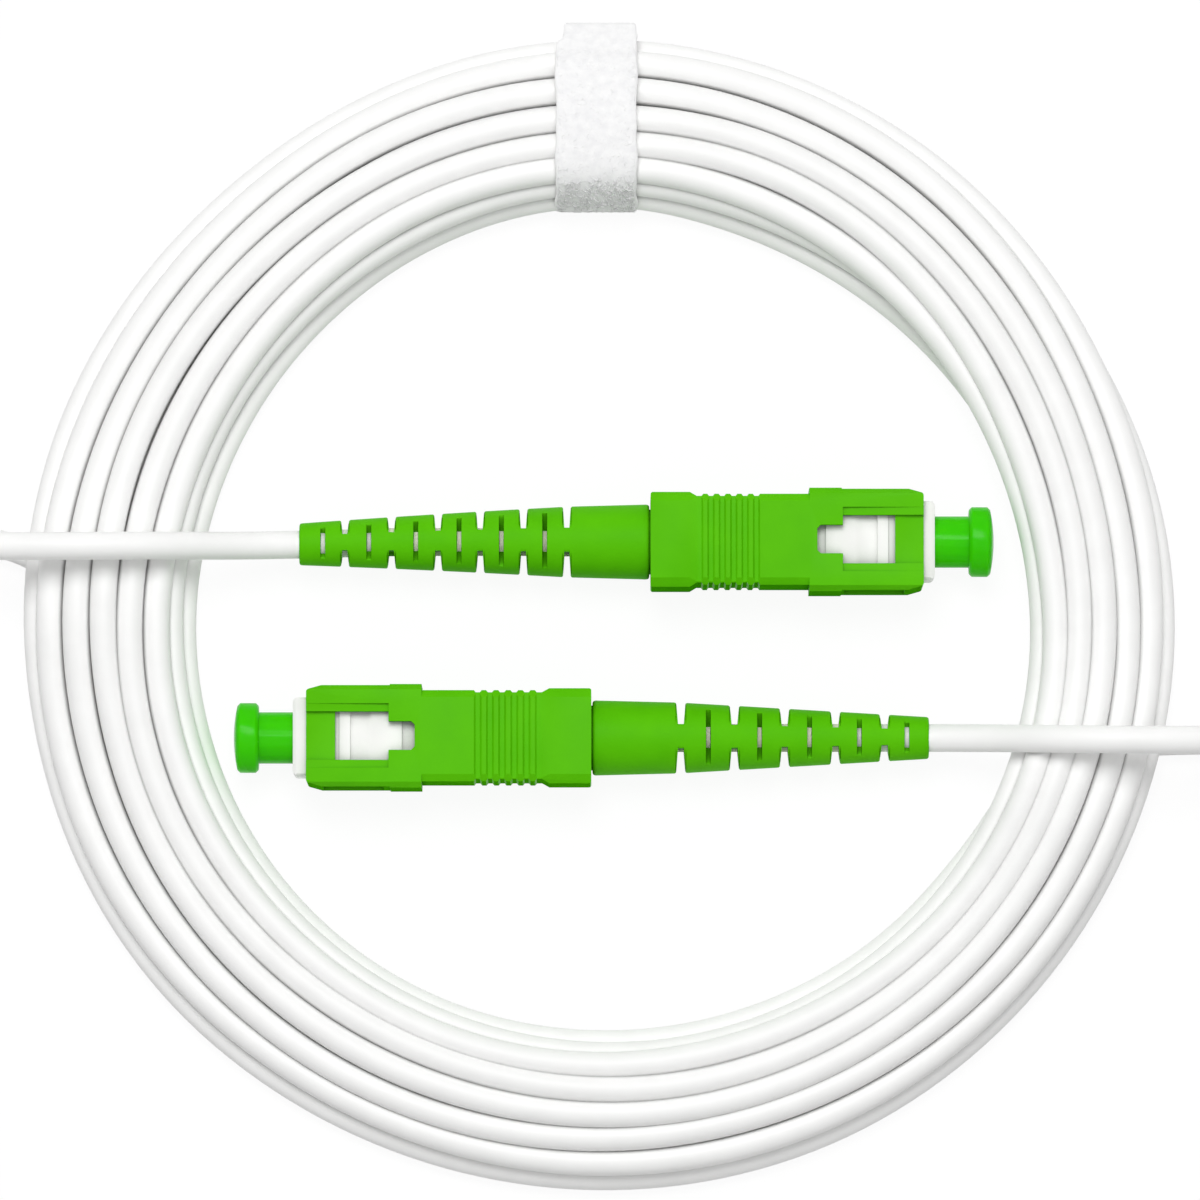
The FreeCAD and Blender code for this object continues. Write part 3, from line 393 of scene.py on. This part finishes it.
# Loops of the fabric. Each is a three-sided tube along root + lean t + outward arch t (1 - t), which leans
# over on the band's outer side, kept above the floor and inside the band's sides.
def makeFibres(line, out, middles, halfWidth):
    rng = np.random.default_rng(fibreSet["seed"])
    end = fibreSet["end"]
    station = rng.integers(0, len(line), fibreSet["count"])
    station = station[line[station, 1] > fibreSet["above"]]
    inner = np.flatnonzero((line[:, 0] < end["before"]) & (line[:, 1] > end["above"]))
    atEnd = np.concatenate([np.zeros(len(station), bool), np.ones(end["count"], bool)])
    station = np.concatenate([station, rng.choice(inner, end["count"])])
    count = len(station)
    low = middles[station] - (halfWidth[station] - fibreSet["edge"])
    high = middles[station] + (halfWidth[station] - fibreSet["edge"])
    x = middles[station] + rng.uniform(-1, 1, count) * (halfWidth[station] - fibreSet["edge"])
    outward = np.column_stack([np.zeros(count), out[station, 0], out[station, 1]])
    root = np.column_stack([x, line[station, 0], line[station, 1]]) + outward * strapSet["thick"] / 2 * 0.9
    heading = rng.uniform(0, 2 * np.pi, count)
    side = np.column_stack([np.ones(count), np.zeros(count), np.zeros(count)])
    forward = np.cross(outward, side)
    lean = side * np.cos(heading)[:, None] + forward * np.sin(heading)[:, None]
    size = (np.where(atEnd, end["length"], fibreSet["length"]) * rng.uniform(0.4, 1.0, count))[:, None, None]
    arch = np.where(atEnd, end["arch"], fibreSet["arch"])[:, None, None] * size
    points = len(fibreSet["taper"])
    t = np.linspace(0, 1, points)[None, :, None]
    middle = root[:, None, :] + lean[:, None, :] * size * t + outward[:, None, :] * arch * t * (1 - t)
    middle[..., 2] = np.maximum(middle[..., 2], fibreSet["floorGap"])
    middle[..., 0] = np.clip(middle[..., 0], low[:, None], high[:, None])
    thin = np.where(atEnd, end["thick"], fibreSet["thick"])[:, None] * np.array(fibreSet["taper"])
    across = np.cross(lean, outward)[:, None, None, :]
    angle = np.array([0, 2 * np.pi / 3, 4 * np.pi / 3])[None, None, :, None]
    ring = across * np.cos(angle) + outward[:, None, None, :] * np.sin(angle)
    tube = middle[:, :, None, :] + ring * thin[:, :, None, None]
    firsts = (np.arange(count) * points * 3)[:, None, None]
    walls = (gridFaces(points, 3, False, True)[None] + firsts).reshape(-1, 4)
    last = (points - 1) * 3
    ends = (np.array([[2, 1, 0], [last, last + 1, last + 2]])[None] + firsts).reshape(-1, 3)
    fibres = meshFrom("strap_fibres", tube.reshape(-1, 3), [walls, ends])
    facingOut(fibres)
    return fibres


strap, strapFibres = makeStrap()
for piece in (strap, strapFibres):
    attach(piece, "cord")
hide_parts("coil_tie")
print("strap made")


# Screen values 0-255 as the light they stand for.
def linear(colour):
    c = np.array(colour) / 255
    return tuple(np.where(c <= 0.04045, c / 12.92, ((c + 0.055) / 1.055) ** 2.4)) + (1.0,)


# A new node of a kind, with constants on its named inputs.
def addNode(tree, kind, **inputs):
    node = tree.nodes.new("ShaderNode" + kind)
    for socket, value in inputs.items():
        node.inputs[socket.replace("_", " ")].default_value = value
    return node


# A moulded or drawn surface. Its colour runs between two tones by soft noise of the mottle's scale,
# its roughness between two values by the same noise, and fine noise of the grain's scale raises it.
# The painted shade darkens the colour in corners, creases and between parts: how far it looks for a
# neighbouring surface, and how much of the colour it takes at most.
def makeFinish(name, light, dark, mottle, roughness, grain, depth, paintedShade=None, stretch=(1, 1, 1), **sockets):
    material = bpy.data.materials.new(name)
    material.use_nodes = True
    tree = material.node_tree
    link = tree.links.new
    shader = tree.nodes["Principled BSDF"]
    place = addNode(tree, "TexCoord")
    mapping = addNode(tree, "Mapping", Scale=stretch)
    soft = addNode(tree, "TexNoise", Scale=mottle, Detail=4.0)
    fine = addNode(tree, "TexNoise", Scale=grain, Detail=3.0)
    tones = addNode(tree, "ValToRGB")
    for element, position, tone in zip(tones.color_ramp.elements, (0.30, 0.70), (dark, light)):
        element.position = position
        element.color = linear(tone)
    rough = addNode(tree, "MapRange", From_Min=0.3, From_Max=0.7, To_Min=roughness[0], To_Max=roughness[1])
    bump = addNode(tree, "Bump", Strength=0.6, Distance=depth)
    link(place.outputs["Object"], mapping.inputs["Vector"])
    link(mapping.outputs["Vector"], soft.inputs["Vector"])
    link(mapping.outputs["Vector"], fine.inputs["Vector"])
    link(soft.outputs["Fac"], tones.inputs["Fac"])
    colour = tones.outputs["Color"]
    if paintedShade:
        # painted shade: the colour is scaled down where ambient occlusion finds a nearby surface
        reach, strength = paintedShade
        corner = addNode(tree, "AmbientOcclusion", Distance=reach)
        corner.samples = 6
        openness = addNode(tree, "MapRange", From_Min=0.15, From_Max=0.85, To_Min=1 - strength, To_Max=1.0)
        shadedColour = addNode(tree, "VectorMath")
        shadedColour.operation = "SCALE"
        link(corner.outputs["AO"], openness.inputs["Value"])
        link(colour, shadedColour.inputs[0])
        link(openness.outputs["Result"], shadedColour.inputs["Scale"])
        colour = shadedColour.outputs["Vector"]
    link(colour, shader.inputs["Base Color"])
    link(soft.outputs["Fac"], rough.inputs["Value"])
    link(rough.outputs["Result"], shader.inputs["Roughness"])
    link(fine.outputs["Fac"], bump.inputs["Height"])
    link(bump.outputs["Normal"], shader.inputs["Normal"])
    for socket, value in sockets.items():
        shader.inputs[socket.replace("_", " ")].default_value = value
    return material


# For each finish: name, lighter and darker tone, mottle, roughness from and to, grain and its depth in metres,
# and where given a painted shade in corners, creases and between strands: its reach and strength.
finishes = {
    "green_plastic": makeFinish(
        "housing_green", (92, 196, 8), (86, 189, 4), 260, (0.42, 0.52), 5200, 0.000012,
        paintedShade=(1.0 * mm, 0.36), Specular_IOR_Level=0.05),
    # upright side walls: matte and without specular, their tones darker than the top's as painted shade, and a
    # stronger painted shade in corners
    "green_sides_shaded": makeFinish(
        "housing_sides_shaded", (74, 176, 6), (68, 168, 4), 260, (0.62, 0.72), 2600, 0.000020,
        paintedShade=(1.2 * mm, 0.6), Specular_IOR_Level=0.0),
    "boot_green": makeFinish(
        "boot_green", (91, 196, 6), (84, 188, 3), 320, (0.50, 0.60), 3800, 0.000016,
        paintedShade=(0.7 * mm, 0.5), Specular_IOR_Level=0.05),
    "cap_green": makeFinish(
        "cap_green", (63, 207, 1), (55, 200, 0), 240, (0.22, 0.30), 3000, 0.000006,
        paintedShade=(0.8 * mm, 0.10), Specular_IOR_Level=0.03, Coat_Weight=0.08, Coat_Roughness=0.10,
        Subsurface_Weight=0.4, Subsurface_Radius=(0.6, 1.0, 0.2), Subsurface_Scale=0.0016),
    "white_plastic": makeFinish(
        "frame_white", (253, 252, 250), (248, 248, 246), 300, (0.34, 0.44), 4200, 0.000010,
        paintedShade=(1.6 * mm, 0.58), Specular_IOR_Level=0.30),
    "cord_white": makeFinish(
        "jacket_white", (253, 253, 252), (249, 249, 248), 420, (0.40, 0.50), 6500, 0.000008,
        paintedShade=(0.45 * mm, 0.48), Specular_IOR_Level=0.30),
    # the cord inside the boot: the same jacket, warmer and a little darker as painted shade in the boot's slots
    "cord_shaded": makeFinish(
        "jacket_inside_shaded", (252, 250, 232), (246, 243, 222), 500, (0.55, 0.65), 6500, 0.000008,
        Specular_IOR_Level=0.2),
    "buffer_white": makeFinish(
        "buffer_white", (232, 232, 224), (220, 220, 212), 600, (0.45, 0.55), 6000, 0.000010),
    "strap_white": makeFinish(
        "strap_white", (253, 253, 253), (243, 243, 244), 1500, (0.85, 0.95), 4200, 0.000060,
        Specular_IOR_Level=0.1, Sheen_Weight=1.0, Sheen_Roughness=0.5),
    "ceramic": makeFinish(
        "ceramic_white", (244, 241, 232), (238, 235, 226), 300, (0.10, 0.16), 5000, 0.000003),
    "steel": makeFinish(
        "spring_steel", (205, 205, 208), (180, 181, 186), 900, (0.22, 0.34), 7000, 0.000006, Metallic=1.0),
    "nickel_plate": makeFinish(
        "nickel", (214, 209, 198), (200, 195, 184), 600, (0.16, 0.28), 6000, 0.000004, Metallic=1.0),
    "crimp_metal": makeFinish(
        "crimp_metal", (196, 192, 184), (176, 172, 165), 700, (0.28, 0.42), 4500, 0.000010, Metallic=1.0),
    "yarn": makeFinish(
        "yarn_yellow", (236, 205, 92), (214, 178, 66), 1800, (0.60, 0.75), 5200, 0.000060,
        stretch=(0.15, 1, 1), Sheen_Weight=0.2),
}
cord.data.materials.append(finishes["cord_white"])
strap.data.materials.append(finishes["strap_white"])
strapFibres.data.materials.append(finishes["strap_white"])

nodeSlots = {
    "outer_housing": "green_plastic", "boot": "boot_green", "dust_cap": "cap_green",
    "plug_frame": "white_plastic", "stop_ring": "nickel_plate", "crimp_ring": "crimp_metal",
    "yarn_sleeve": "yarn", "buffer_tube": "buffer_white", "cord_end": "cord_shaded",
    "ferrule": "ceramic", "ferrule_collar": "nickel_plate", "ferrule_spring": "steel",
}
for name, node in nodes.items():
    slot = nodeSlots.get(name.rsplit("_", 1)[0])
    if slot:
        if not node.data.materials:
            node.data.materials.append(finishes[slot])
        for index in range(len(node.data.materials)):
            node.data.materials[index] = finishes[slot]
print("finishes made")


# Ledges beside the window: their height, their height at the front of the housing, and how far out they lie.
railSet = {
    "height": 7.15 * mm,
    "frontHeight": 7.38 * mm,
    "front": 26.5 * mm,
    "reach": 2.9 * mm,
    "closeness": 0.01 * mm,
}
# Long shallow grooves in the housing's side walls: along it, over the floor, and out from its middle.
grooveSet = {
    "from": 19.8 * mm,
    "to": 25.0 * mm,
    "low": 1.0 * mm,
    "high": 6.35 * mm,
    "floor": 4.02 * mm,
    "outside": 5.2 * mm,
}
sideNormal = 0.8                  # how far to the side a wall faces to count as one
# Places along a piece in its solid, and where the copy shows them, in mm. The two housings differ a little
# in length, the frame's rim is shorter, and the crimp's tail reaches behind the last notch.
placesAlong = {
    "outer_housing_a": ((-27.1, 2.6, 26.6), (-27.1, 3.15, 26.6)),
    "outer_housing_b": ((-27.1, 2.6, 16.3, 17.25, 26.6), (-27.1, 1.95, 16.3, 17.1, 26.42)),
    "plug_frame": ((8.0, 21.0, 22.45, 23.5, 26.6, 27.7), (8.0, 21.0, 22.64, 23.58, 26.6, 27.58)),
    "crimp_ring": ((-4.3, -1.3, 9.0), (-3.66, -1.3, 9.0)),
}
# For each copy: the body that it rides, its rounded edges, and its width or thickness as a share of the solid's.
copySet = {
    "outer_housing": {"body": "housing", "edge": 0.14 * mm, "angle": 32, "narrow": 0.968},
    "plug_frame": {"body": "cord", "edge": 0.10 * mm, "angle": 32},
    "dust_cap": {"body": "cap", "edge": 0.06 * mm, "angle": 38, "swell": 1.03},
    "crimp_ring": {"body": "cord", "edge": 0.03 * mm, "angle": 38},
}
mergeWithin = 0.002 * mm          # corners this close become one
flatWithin = math.radians(0.5)    # faces that turn less than this become one


# A long shallow box taken out of each side wall below the top plate: x, y and z each run between two values.
def cutGrooves(piece, side, middleY):
    low = np.array([grooveSet["from"], 0, grooveSet["low"]])
    high = np.array([grooveSet["to"], 0, grooveSet["high"]])
    unit = np.array([(x, y, z) for x in (0, 1) for y in (0, 1) for z in (0, 1)])
    boxFaces = np.array([(0, 1, 3, 2), (4, 6, 7, 5), (0, 4, 5, 1), (2, 3, 7, 6), (0, 2, 6, 4), (1, 5, 7, 3)])
    boxes = []
    for wall in (-1, 1):
        low[1], high[1] = sorted((wall * grooveSet["floor"], wall * grooveSet["outside"]))
        corners = low + unit * (high - low)
        boxes.append(np.column_stack([side * corners[:, 0], middleY + corners[:, 1], corners[:, 2]]))
    cutter = meshFrom("groove_cutter", np.vstack(boxes), [boxFaces, boxFaces + len(unit)])
    facingOut(cutter)
    cut = piece.modifiers.new("grooves", "BOOLEAN")
    cut.operation = "DIFFERENCE"
    cut.object = cutter
    bpy.context.view_layer.update()
    graph = bpy.context.evaluated_depsgraph_get()
    result = bpy.data.meshes.new_from_object(piece.evaluated_get(graph))
    result.name = piece.data.name
    piece.modifiers.clear()
    piece.data = result
    bpy.data.objects.remove(cutter)


# The housing's points: x by straight steps between the listed places, the ledges' front corners lifted,
# and y drawn in to a share of its distance from the middle.
def shapeHousing(corners, side, middleY, places, narrow):
    solid, shown = np.array(places) * mm
    along = side * corners[:, 0]
    rail = (along > railSet["front"]) & (np.abs(corners[:, 2] - railSet["height"]) < railSet["closeness"])
    rail &= np.abs(corners[:, 1] - middleY) < railSet["reach"]
    corners[rail, 2] = railSet["frontHeight"]
    corners[:, 0] = side * np.interp(along, solid, shown)
    corners[:, 1] = middleY + (corners[:, 1] - middleY) * narrow


# Gives the upright side walls of a housing their own finish: matte, and darker as painted shade.
def finishAndShadeSides(mesh):
    mesh.materials.append(finishes["green_sides_shaded"])
    normals = np.empty(len(mesh.polygons) * 3)
    mesh.polygons.foreach_get("normal", normals)
    upright = np.abs(normals.reshape(-1, 3)[:, 1]) > sideNormal
    mesh.polygons.foreach_set("material_index", upright.astype(np.int32))


# The node's own solid, its points moved as listed above, corners merged and sharp edges rounded by a bevel.
def dressedCopy(kind, end):
    look = copySet[kind]
    node = nodes[kind + "_" + end]
    mesh = node.data.copy()
    mesh.name = kind + "_" + end + "_dressed"
    side = 1 if end == "a" else -1
    low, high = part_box(kind + "_" + end)
    middleY, middleZ = (low[1] + high[1]) / 2, (low[2] + high[2]) / 2
    corners = np.empty(len(mesh.vertices) * 3)
    mesh.vertices.foreach_get("co", corners)
    corners = corners.reshape(-1, 3)
    if kind in placesAlong:
        solid, shown = np.array(placesAlong[kind]) * mm
        corners[:, 0] = side * np.interp(side * corners[:, 0], solid, shown)
    middle = np.array([middleY, middleZ])
    corners[:, 1:] = middle + (corners[:, 1:] - middle) * look.get("swell", 1.0)
    if kind == "outer_housing":
        shapeHousing(corners, side, middleY, placesAlong[kind + "_" + end], look["narrow"])
    mesh.vertices.foreach_set("co", corners.ravel())
    build = bmesh.new()
    build.from_mesh(mesh)
    bmesh.ops.remove_doubles(build, verts=build.verts, dist=mergeWithin)
    bmesh.ops.dissolve_limit(build, angle_limit=flatWithin, verts=build.verts, edges=build.edges)
    bmesh.ops.recalc_face_normals(build, faces=build.faces)
    build.to_mesh(mesh)
    build.free()
    mesh.materials.clear()
    mesh.materials.append(finishes[nodeSlots[kind]])
    piece = placed(mesh.name, mesh)
    if kind == "outer_housing":
        cutGrooves(piece, side, middleY)
        mesh = piece.data
        finishAndShadeSides(mesh)
    mesh.polygons.foreach_set("use_smooth", [True] * len(mesh.polygons))
    bevel = piece.modifiers.new("edges", "BEVEL")
    bevel.width = look["edge"]
    bevel.segments = 3
    bevel.limit_method = "ANGLE"
    bevel.angle_limit = math.radians(look["angle"])
    bevel.use_clamp_overlap = True
    bevel.harden_normals = True
    body = look["body"] if look["body"] == "cord" else look["body"] + "_" + end
    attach(piece, body)
    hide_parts(kind + "_" + end)


for end in ("a", "b"):
    for kind in copySet:
        dressedCopy(kind, end)
print("copies dressed")


bootSet = {
    "tipRadius": 1.8 * mm,
    "sleeveRadius": 3.05 * mm,
    "mouthRadius": 3.23 * mm,
    "neckRadius": 2.8 * mm,
    "neckEnd": 7.16 * mm,
    "tip": -27.08 * mm,
    "tipRound": (0.2 * mm, 0.2 * mm),       # rounding of the rims: how deep, and how long
    "mouthRound": (0.26 * mm, 0.28 * mm),
    "columns": 132,
    "rowStep": 0.5 * mm,
    "slotHalf": 0.19 * mm,
    "slotMargin": 0.60 * mm,      # a slot ends this far inside the boot's edge
    "slotFade": (0.12 * mm, 0.02 * mm, 0.01 * mm),   # of its ends, of its walls, and the walls' overlap
    "notchFade": 0.5 * mm,        # how soon a notch's rounding begins beyond the web
    "floorRadius": 1.15 * mm,     # slots and notches reach down to the cord
    "corner": 0.17 * mm,          # rounding of the segments' edges at a notch
    "sheetGap": 0.02 * mm,        # the bore stays this far inside
    "droopFrom": -6 * mm,         # the hang to the side grows from here, over this length
    "droopOver": 21 * mm,
    "sharpAngle": math.radians(38),
    # inner bore: along the boot and radius
    "bore": ((-27.1, 1.24), (-3.70, 1.24), (-3.68, 1.71), (-1.24, 1.71), (-0.64, 2.35), (7.16, 2.35)),
    # along the boot: sleeve's end and mouth, slots, notches, half widths of the web between two notches,
    # half widths of a notch at its floor and at its edge, and how far the boot hangs to the side at its tip
    "a": {
        "sleeve": -4.0, "mouth": 3.05, "slots": (-25.04, -21.08, -17.04, -13.32, -9.68, -5.95),
        "notches": (-23.15, -19.14, -15.14, -11.51, -7.79, -4.05), "webs": (0.70, 0.80, 0.86, 0.91, 0.98, 1.04),
        "floorHalf": 0.215, "edgeHalf": 0.33, "droop": 0.2,
    },
    "b": {
        "sleeve": -5.7, "mouth": 1.85, "slots": (-25.17, -21.08, -16.80, -12.51, -8.10),
        "notches": (-23.26, -19.04, -14.67, -10.36, -5.75), "webs": (0.71, 0.81, 0.89, 1.01, 1.04),
        "floorHalf": 0.25, "edgeHalf": 0.39, "droop": 0.0,
    },
}


# Places along the boot that get a row: even ones, and closer ones at each notch, slot and rim.
def bootRows(notches, slots, floorHalf, edgeHalf, mouth):
    tip = bootSet["tip"]
    wall = np.linspace(floorHalf, edgeHalf, 7)
    corner = edgeHalf + bootSet["corner"] * np.array([0.08, 0.25, 0.55, 1.0])
    notchSteps = np.concatenate([[0, floorHalf * 0.9], wall, corner])
    slotSteps = bootSet["slotHalf"] + np.array([-0.19, -0.02, 0.0, 0.02, 0.06]) * mm
    rimSteps = np.array([0, 0.015, 0.05, 0.11, 0.2]) * mm
    mouthSteps = np.array([0, 0.02, 0.07, 0.15, 0.28]) * mm
    along = np.unique(np.round(np.concatenate([
        np.arange(tip, mouth, bootSet["rowStep"]),
        (notches[:, None] + notchSteps).ravel(), (notches[:, None] - notchSteps).ravel(),
        (slots[:, None] + slotSteps).ravel(), (slots[:, None] - slotSteps).ravel(),
        tip + rimSteps, mouth - mouthSteps,
    ]), 7))
    return along[(along >= tip) & (along <= mouth)]


# The boot's outside is a surface r(s, angle) about its cord, s along it. r is the tapered outside, and less:
# - in a notch, web / |cos angle|, so the notch's floor is flat and upright, and the web widens to the edge,
# - in a slot, down to the cord, where the outside's |y| stays inside the slot's half length.
def bootRadius(along, angle, look, notches, slots, mouth):
    floorHalf, edgeHalf, corner = look["floorHalf"] * mm, look["edgeHalf"] * mm, bootSet["corner"]
    tip, webs = bootSet["tip"], np.array(look["webs"]) * mm
    tipDeep, tipLong = bootSet["tipRound"]
    mouthDeep, mouthLong = bootSet["mouthRound"]
    places = [tip, look["sleeve"] * mm, mouth - mouthLong]
    outside = np.interp(along, places, [bootSet["tipRadius"], bootSet["sleeveRadius"], bootSet["mouthRadius"]])
    outside -= tipDeep * roundedEdge(along - tip, tipLong)
    outside -= mouthDeep * roundedEdge(mouth - along, mouthLong)
    c = np.abs(np.cos(angle))[None, :]
    full = np.repeat(outside[:, None], len(angle), axis=1)
    radius = full.copy()
    for middle, web in zip(notches, webs):
        off = np.abs(along - middle)[:, None]
        rounded = corner * roundedEdge(off - edgeHalf, corner)
        inNotch = np.clip((full * c - web) / bootSet["notchFade"], 0, 1)
        radius = np.where(off >= edgeHalf, np.minimum(radius, full - rounded * inNotch), radius)
        share = np.clip((off - floorHalf) / (edgeHalf - floorHalf), 0, 1)
        allowed = web + (full - corner - web) * share
        floor = np.maximum(allowed / c, np.where(full * c > web, 0, full))
        radius = np.where(off < edgeHalf, np.minimum(radius, floor), radius)
    endFade, wallFade, overlap = bootSet["slotFade"]
    for middle in slots:
        off = np.abs(along - middle)[:, None]
        ends = smoothStep((full - bootSet["slotMargin"] - full * c) / endFade)
        depth = ends * smoothStep((bootSet["slotHalf"] + overlap - off) / wallFade)
        radius = radius * (1 - depth) + bootSet["floorRadius"] * depth
    return np.maximum(radius, bootSet["floorRadius"])


# A closed tube of rows, each a ring of radii: the neck's end, its outside, the boot's outside from mouth to
# tip, and back along the bore, a second sheet that is always thinner than the outside by a hair.
def makeBoot(end):
    look = bootSet[end]
    side = 1 if end == "a" else -1
    low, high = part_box("boot_" + end)
    middleY, middleZ = (low[1] + high[1]) / 2, (low[2] + high[2]) / 2
    notches, slots = np.array(look["notches"]) * mm, np.array(look["slots"]) * mm
    mouth, columns = look["mouth"] * mm, bootSet["columns"]
    along = bootRows(notches, slots, look["floorHalf"] * mm, look["edgeHalf"] * mm, mouth)
    angle = np.linspace(0, 2 * np.pi, columns, endpoint=False) + np.pi / columns
    radius = bootRadius(along, angle, look, notches, slots, mouth)
    borePlaces, boreRadii = (np.array(bootSet["bore"]) * mm).T
    inner = np.minimum(np.interp(along, borePlaces, boreRadii)[:, None], radius - bootSet["sheetGap"])
    neckEnd = bootSet["neckEnd"]
    neck = np.array([np.interp(neckEnd, borePlaces, boreRadii), bootSet["neckRadius"], bootSet["neckRadius"]])
    rows = np.vstack([np.repeat(neck[:, None], columns, axis=1), radius[::-1], inner])
    places = np.concatenate([[neckEnd, neckEnd, mouth], along[::-1], along])
    x = np.repeat(side * places[:, None], columns, axis=1)
    droop = look["droop"] * mm * np.clip((bootSet["droopFrom"] - places) / bootSet["droopOver"], 0, 1) ** 2
    y = middleY - side * droop[:, None] + rows * np.cos(angle)[None, :]
    z = middleZ + rows * np.sin(angle)[None, :]
    points = np.stack([x, y, z], axis=-1).reshape(-1, 3)
    boot = meshFrom("boot_" + end + "_moulded", points, [gridFaces(len(places), columns, True, True)])
    facingOut(boot)
    boot.data.set_sharp_from_angle(angle=bootSet["sharpAngle"])
    boot.data.materials.append(finishes["boot_green"])
    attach(boot, "cord")
    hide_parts("boot_" + end)


for end in ("a", "b"):
    makeBoot(end)
print("boots moulded")


springSet = {
    "turns": 5.0,
    "wire": 0.4 * mm,
    "outer": 3.9 * mm,
    "seat": 12.6 * mm,            # ends of the spring along the connector
    "front": 16.2 * mm,
    "flatShare": 0.14,            # of its length, wound flat at each end
    "steps": 180,
    "ring": 10,
}


# A wire carried along a helix: y and z go round by cos and sin, and x advances evenly between the flat
# ends.
def makeSpring(end):
    side = 1 if end == "a" else -1
    low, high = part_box("ferrule_collar_" + end)
    middleY, middleZ = (low[1] + high[1]) / 2, (low[2] + high[2]) / 2
    wire, flatShare = springSet["wire"], springSet["flatShare"]
    start, stop = springSet["seat"] + wire / 2, springSet["front"] - wire / 2
    share = np.linspace(0, 1, springSet["steps"])
    angle = 2 * np.pi * springSet["turns"] * share
    x = side * (start + (stop - start) * np.clip((share - flatShare) / (1 - 2 * flatShare), 0, 1))
    radius = (springSet["outer"] - wire) / 2
    middle = np.column_stack([x, middleY + radius * np.cos(angle), middleZ + radius * np.sin(angle)])
    along = np.gradient(middle, axis=0)
    along /= np.linalg.norm(along, axis=1)[:, None]
    outward = np.column_stack([np.zeros_like(angle), np.cos(angle), np.sin(angle)])
    across = np.cross(along, outward)
    turn = np.linspace(0, 2 * np.pi, springSet["ring"], endpoint=False)[None, :, None]
    ring = outward[:, None, :] * np.cos(turn) + across[:, None, :] * np.sin(turn)
    points = (middle[:, None, :] + ring * wire / 2).reshape(-1, 3)
    count, steps = springSet["ring"], springSet["steps"]
    caps = [np.arange(count)[None, ::-1], np.arange(count)[None, :] + (steps - 1) * count]
    spring = meshFrom("ferrule_spring_" + end + "_wound", points, [gridFaces(steps, count, False, True)] + caps)
    facingOut(spring)
    spring.data.materials.append(finishes["steel"])
    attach(spring, "cord")
    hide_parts("ferrule_spring_" + end)
    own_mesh(spring)


for end in ("a", "b"):
    makeSpring(end)
print("springs wound")


lightSet = {
    "floorHalf": 9.0,
    "floorTone": 0.80,      # light that the floor throws back on the object
    "floorShade": 0.09,     # share of the seen floor that a shadow can darken, the rest is its own white
    "floorGlow": 1.01,
    "world": 0.36,
    "key": {"at": (-0.06, 0.36, 0.93), "size": 0.50, "power": 5.7},
    "top": {"at": (0.12, -0.10, 1.00), "size": 0.90, "power": 1.3},
}


# 1 for rays from the camera, and for mirrored and see-through ones, 0 for the light that falls.
def cameraSees(tree):
    path = addNode(tree, "LightPath")
    first = addNode(tree, "Math")
    first.operation = "MAXIMUM"
    second = addNode(tree, "Math")
    second.operation = "MAXIMUM"
    tree.links.new(path.outputs["Is Camera Ray"], first.inputs[0])
    tree.links.new(path.outputs["Is Glossy Ray"], first.inputs[1])
    tree.links.new(first.outputs[0], second.inputs[0])
    tree.links.new(path.outputs["Is Transmission Ray"], second.inputs[1])
    return second.outputs[0]


# A square floor at height 0. What falls on it comes back by its tone, and what is seen of it is a little
# of the shade and for the rest its own white, so that a shadow stays and the ground is white.
def makeFloor():
    half, shade = lightSet["floorHalf"], lightSet["floorShade"]
    corners = np.array([(-half, -half, 0), (half, -half, 0), (half, half, 0), (-half, half, 0)])
    floor = meshFrom("floor", corners, [np.array([[0, 1, 2, 3]])])
    material = bpy.data.materials.new("floor_white")
    material.use_nodes = True
    tree = material.node_tree
    link = tree.links.new
    tree.nodes.clear()
    seen = cameraSees(tree)
    tone = addNode(tree, "MapRange", To_Min=lightSet["floorTone"], To_Max=shade)
    paint = addNode(tree, "BsdfDiffuse")
    shown = addNode(tree, "Math")
    shown.operation = "MULTIPLY"
    shown.inputs[1].default_value = lightSet["floorGlow"] - shade
    glow = addNode(tree, "Emission")
    both = addNode(tree, "AddShader")
    output = addNode(tree, "OutputMaterial")
    link(seen, tone.inputs["Value"])
    link(tone.outputs["Result"], paint.inputs["Color"])
    link(seen, shown.inputs[0])
    link(shown.outputs[0], glow.inputs["Strength"])
    link(paint.outputs[0], both.inputs[0])
    link(glow.outputs[0], both.inputs[1])
    link(both.outputs[0], output.inputs["Surface"])
    floor.data.materials.append(material)


# A white surround, which lights the object by its strength and is seen as white.
def makeWorld():
    world = bpy.data.worlds.new("studio")
    bpy.context.scene.world = world
    world.use_nodes = True
    tree = world.node_tree
    background = tree.nodes["Background"]
    background.inputs["Color"].default_value = (1, 1, 1, 1)
    strength = addNode(tree, "MapRange", To_Min=lightSet["world"], To_Max=1.0)
    tree.links.new(cameraSees(tree), strength.inputs["Value"])
    tree.links.new(strength.outputs["Result"], background.inputs["Strength"])


# A round lamp at its place, turned towards the object's middle by the angles of that place.
def makeLamp(name):
    look = lightSet[name]
    data = bpy.data.lights.new(name, "AREA")
    data.shape = "DISK"
    data.size = look["size"]
    data.energy = look["power"]
    lamp = placed(name, data)
    lamp.location = look["at"]
    aim = np.array(look["at"]) / np.linalg.norm(look["at"])
    lamp.rotation_euler = (math.acos(aim[2]), 0, math.atan2(aim[0], -aim[1]))


makeFloor()
makeWorld()
makeLamp("key")
makeLamp("top")
bpy.context.scene.view_settings.view_transform = "Standard"
print("floor and light set")
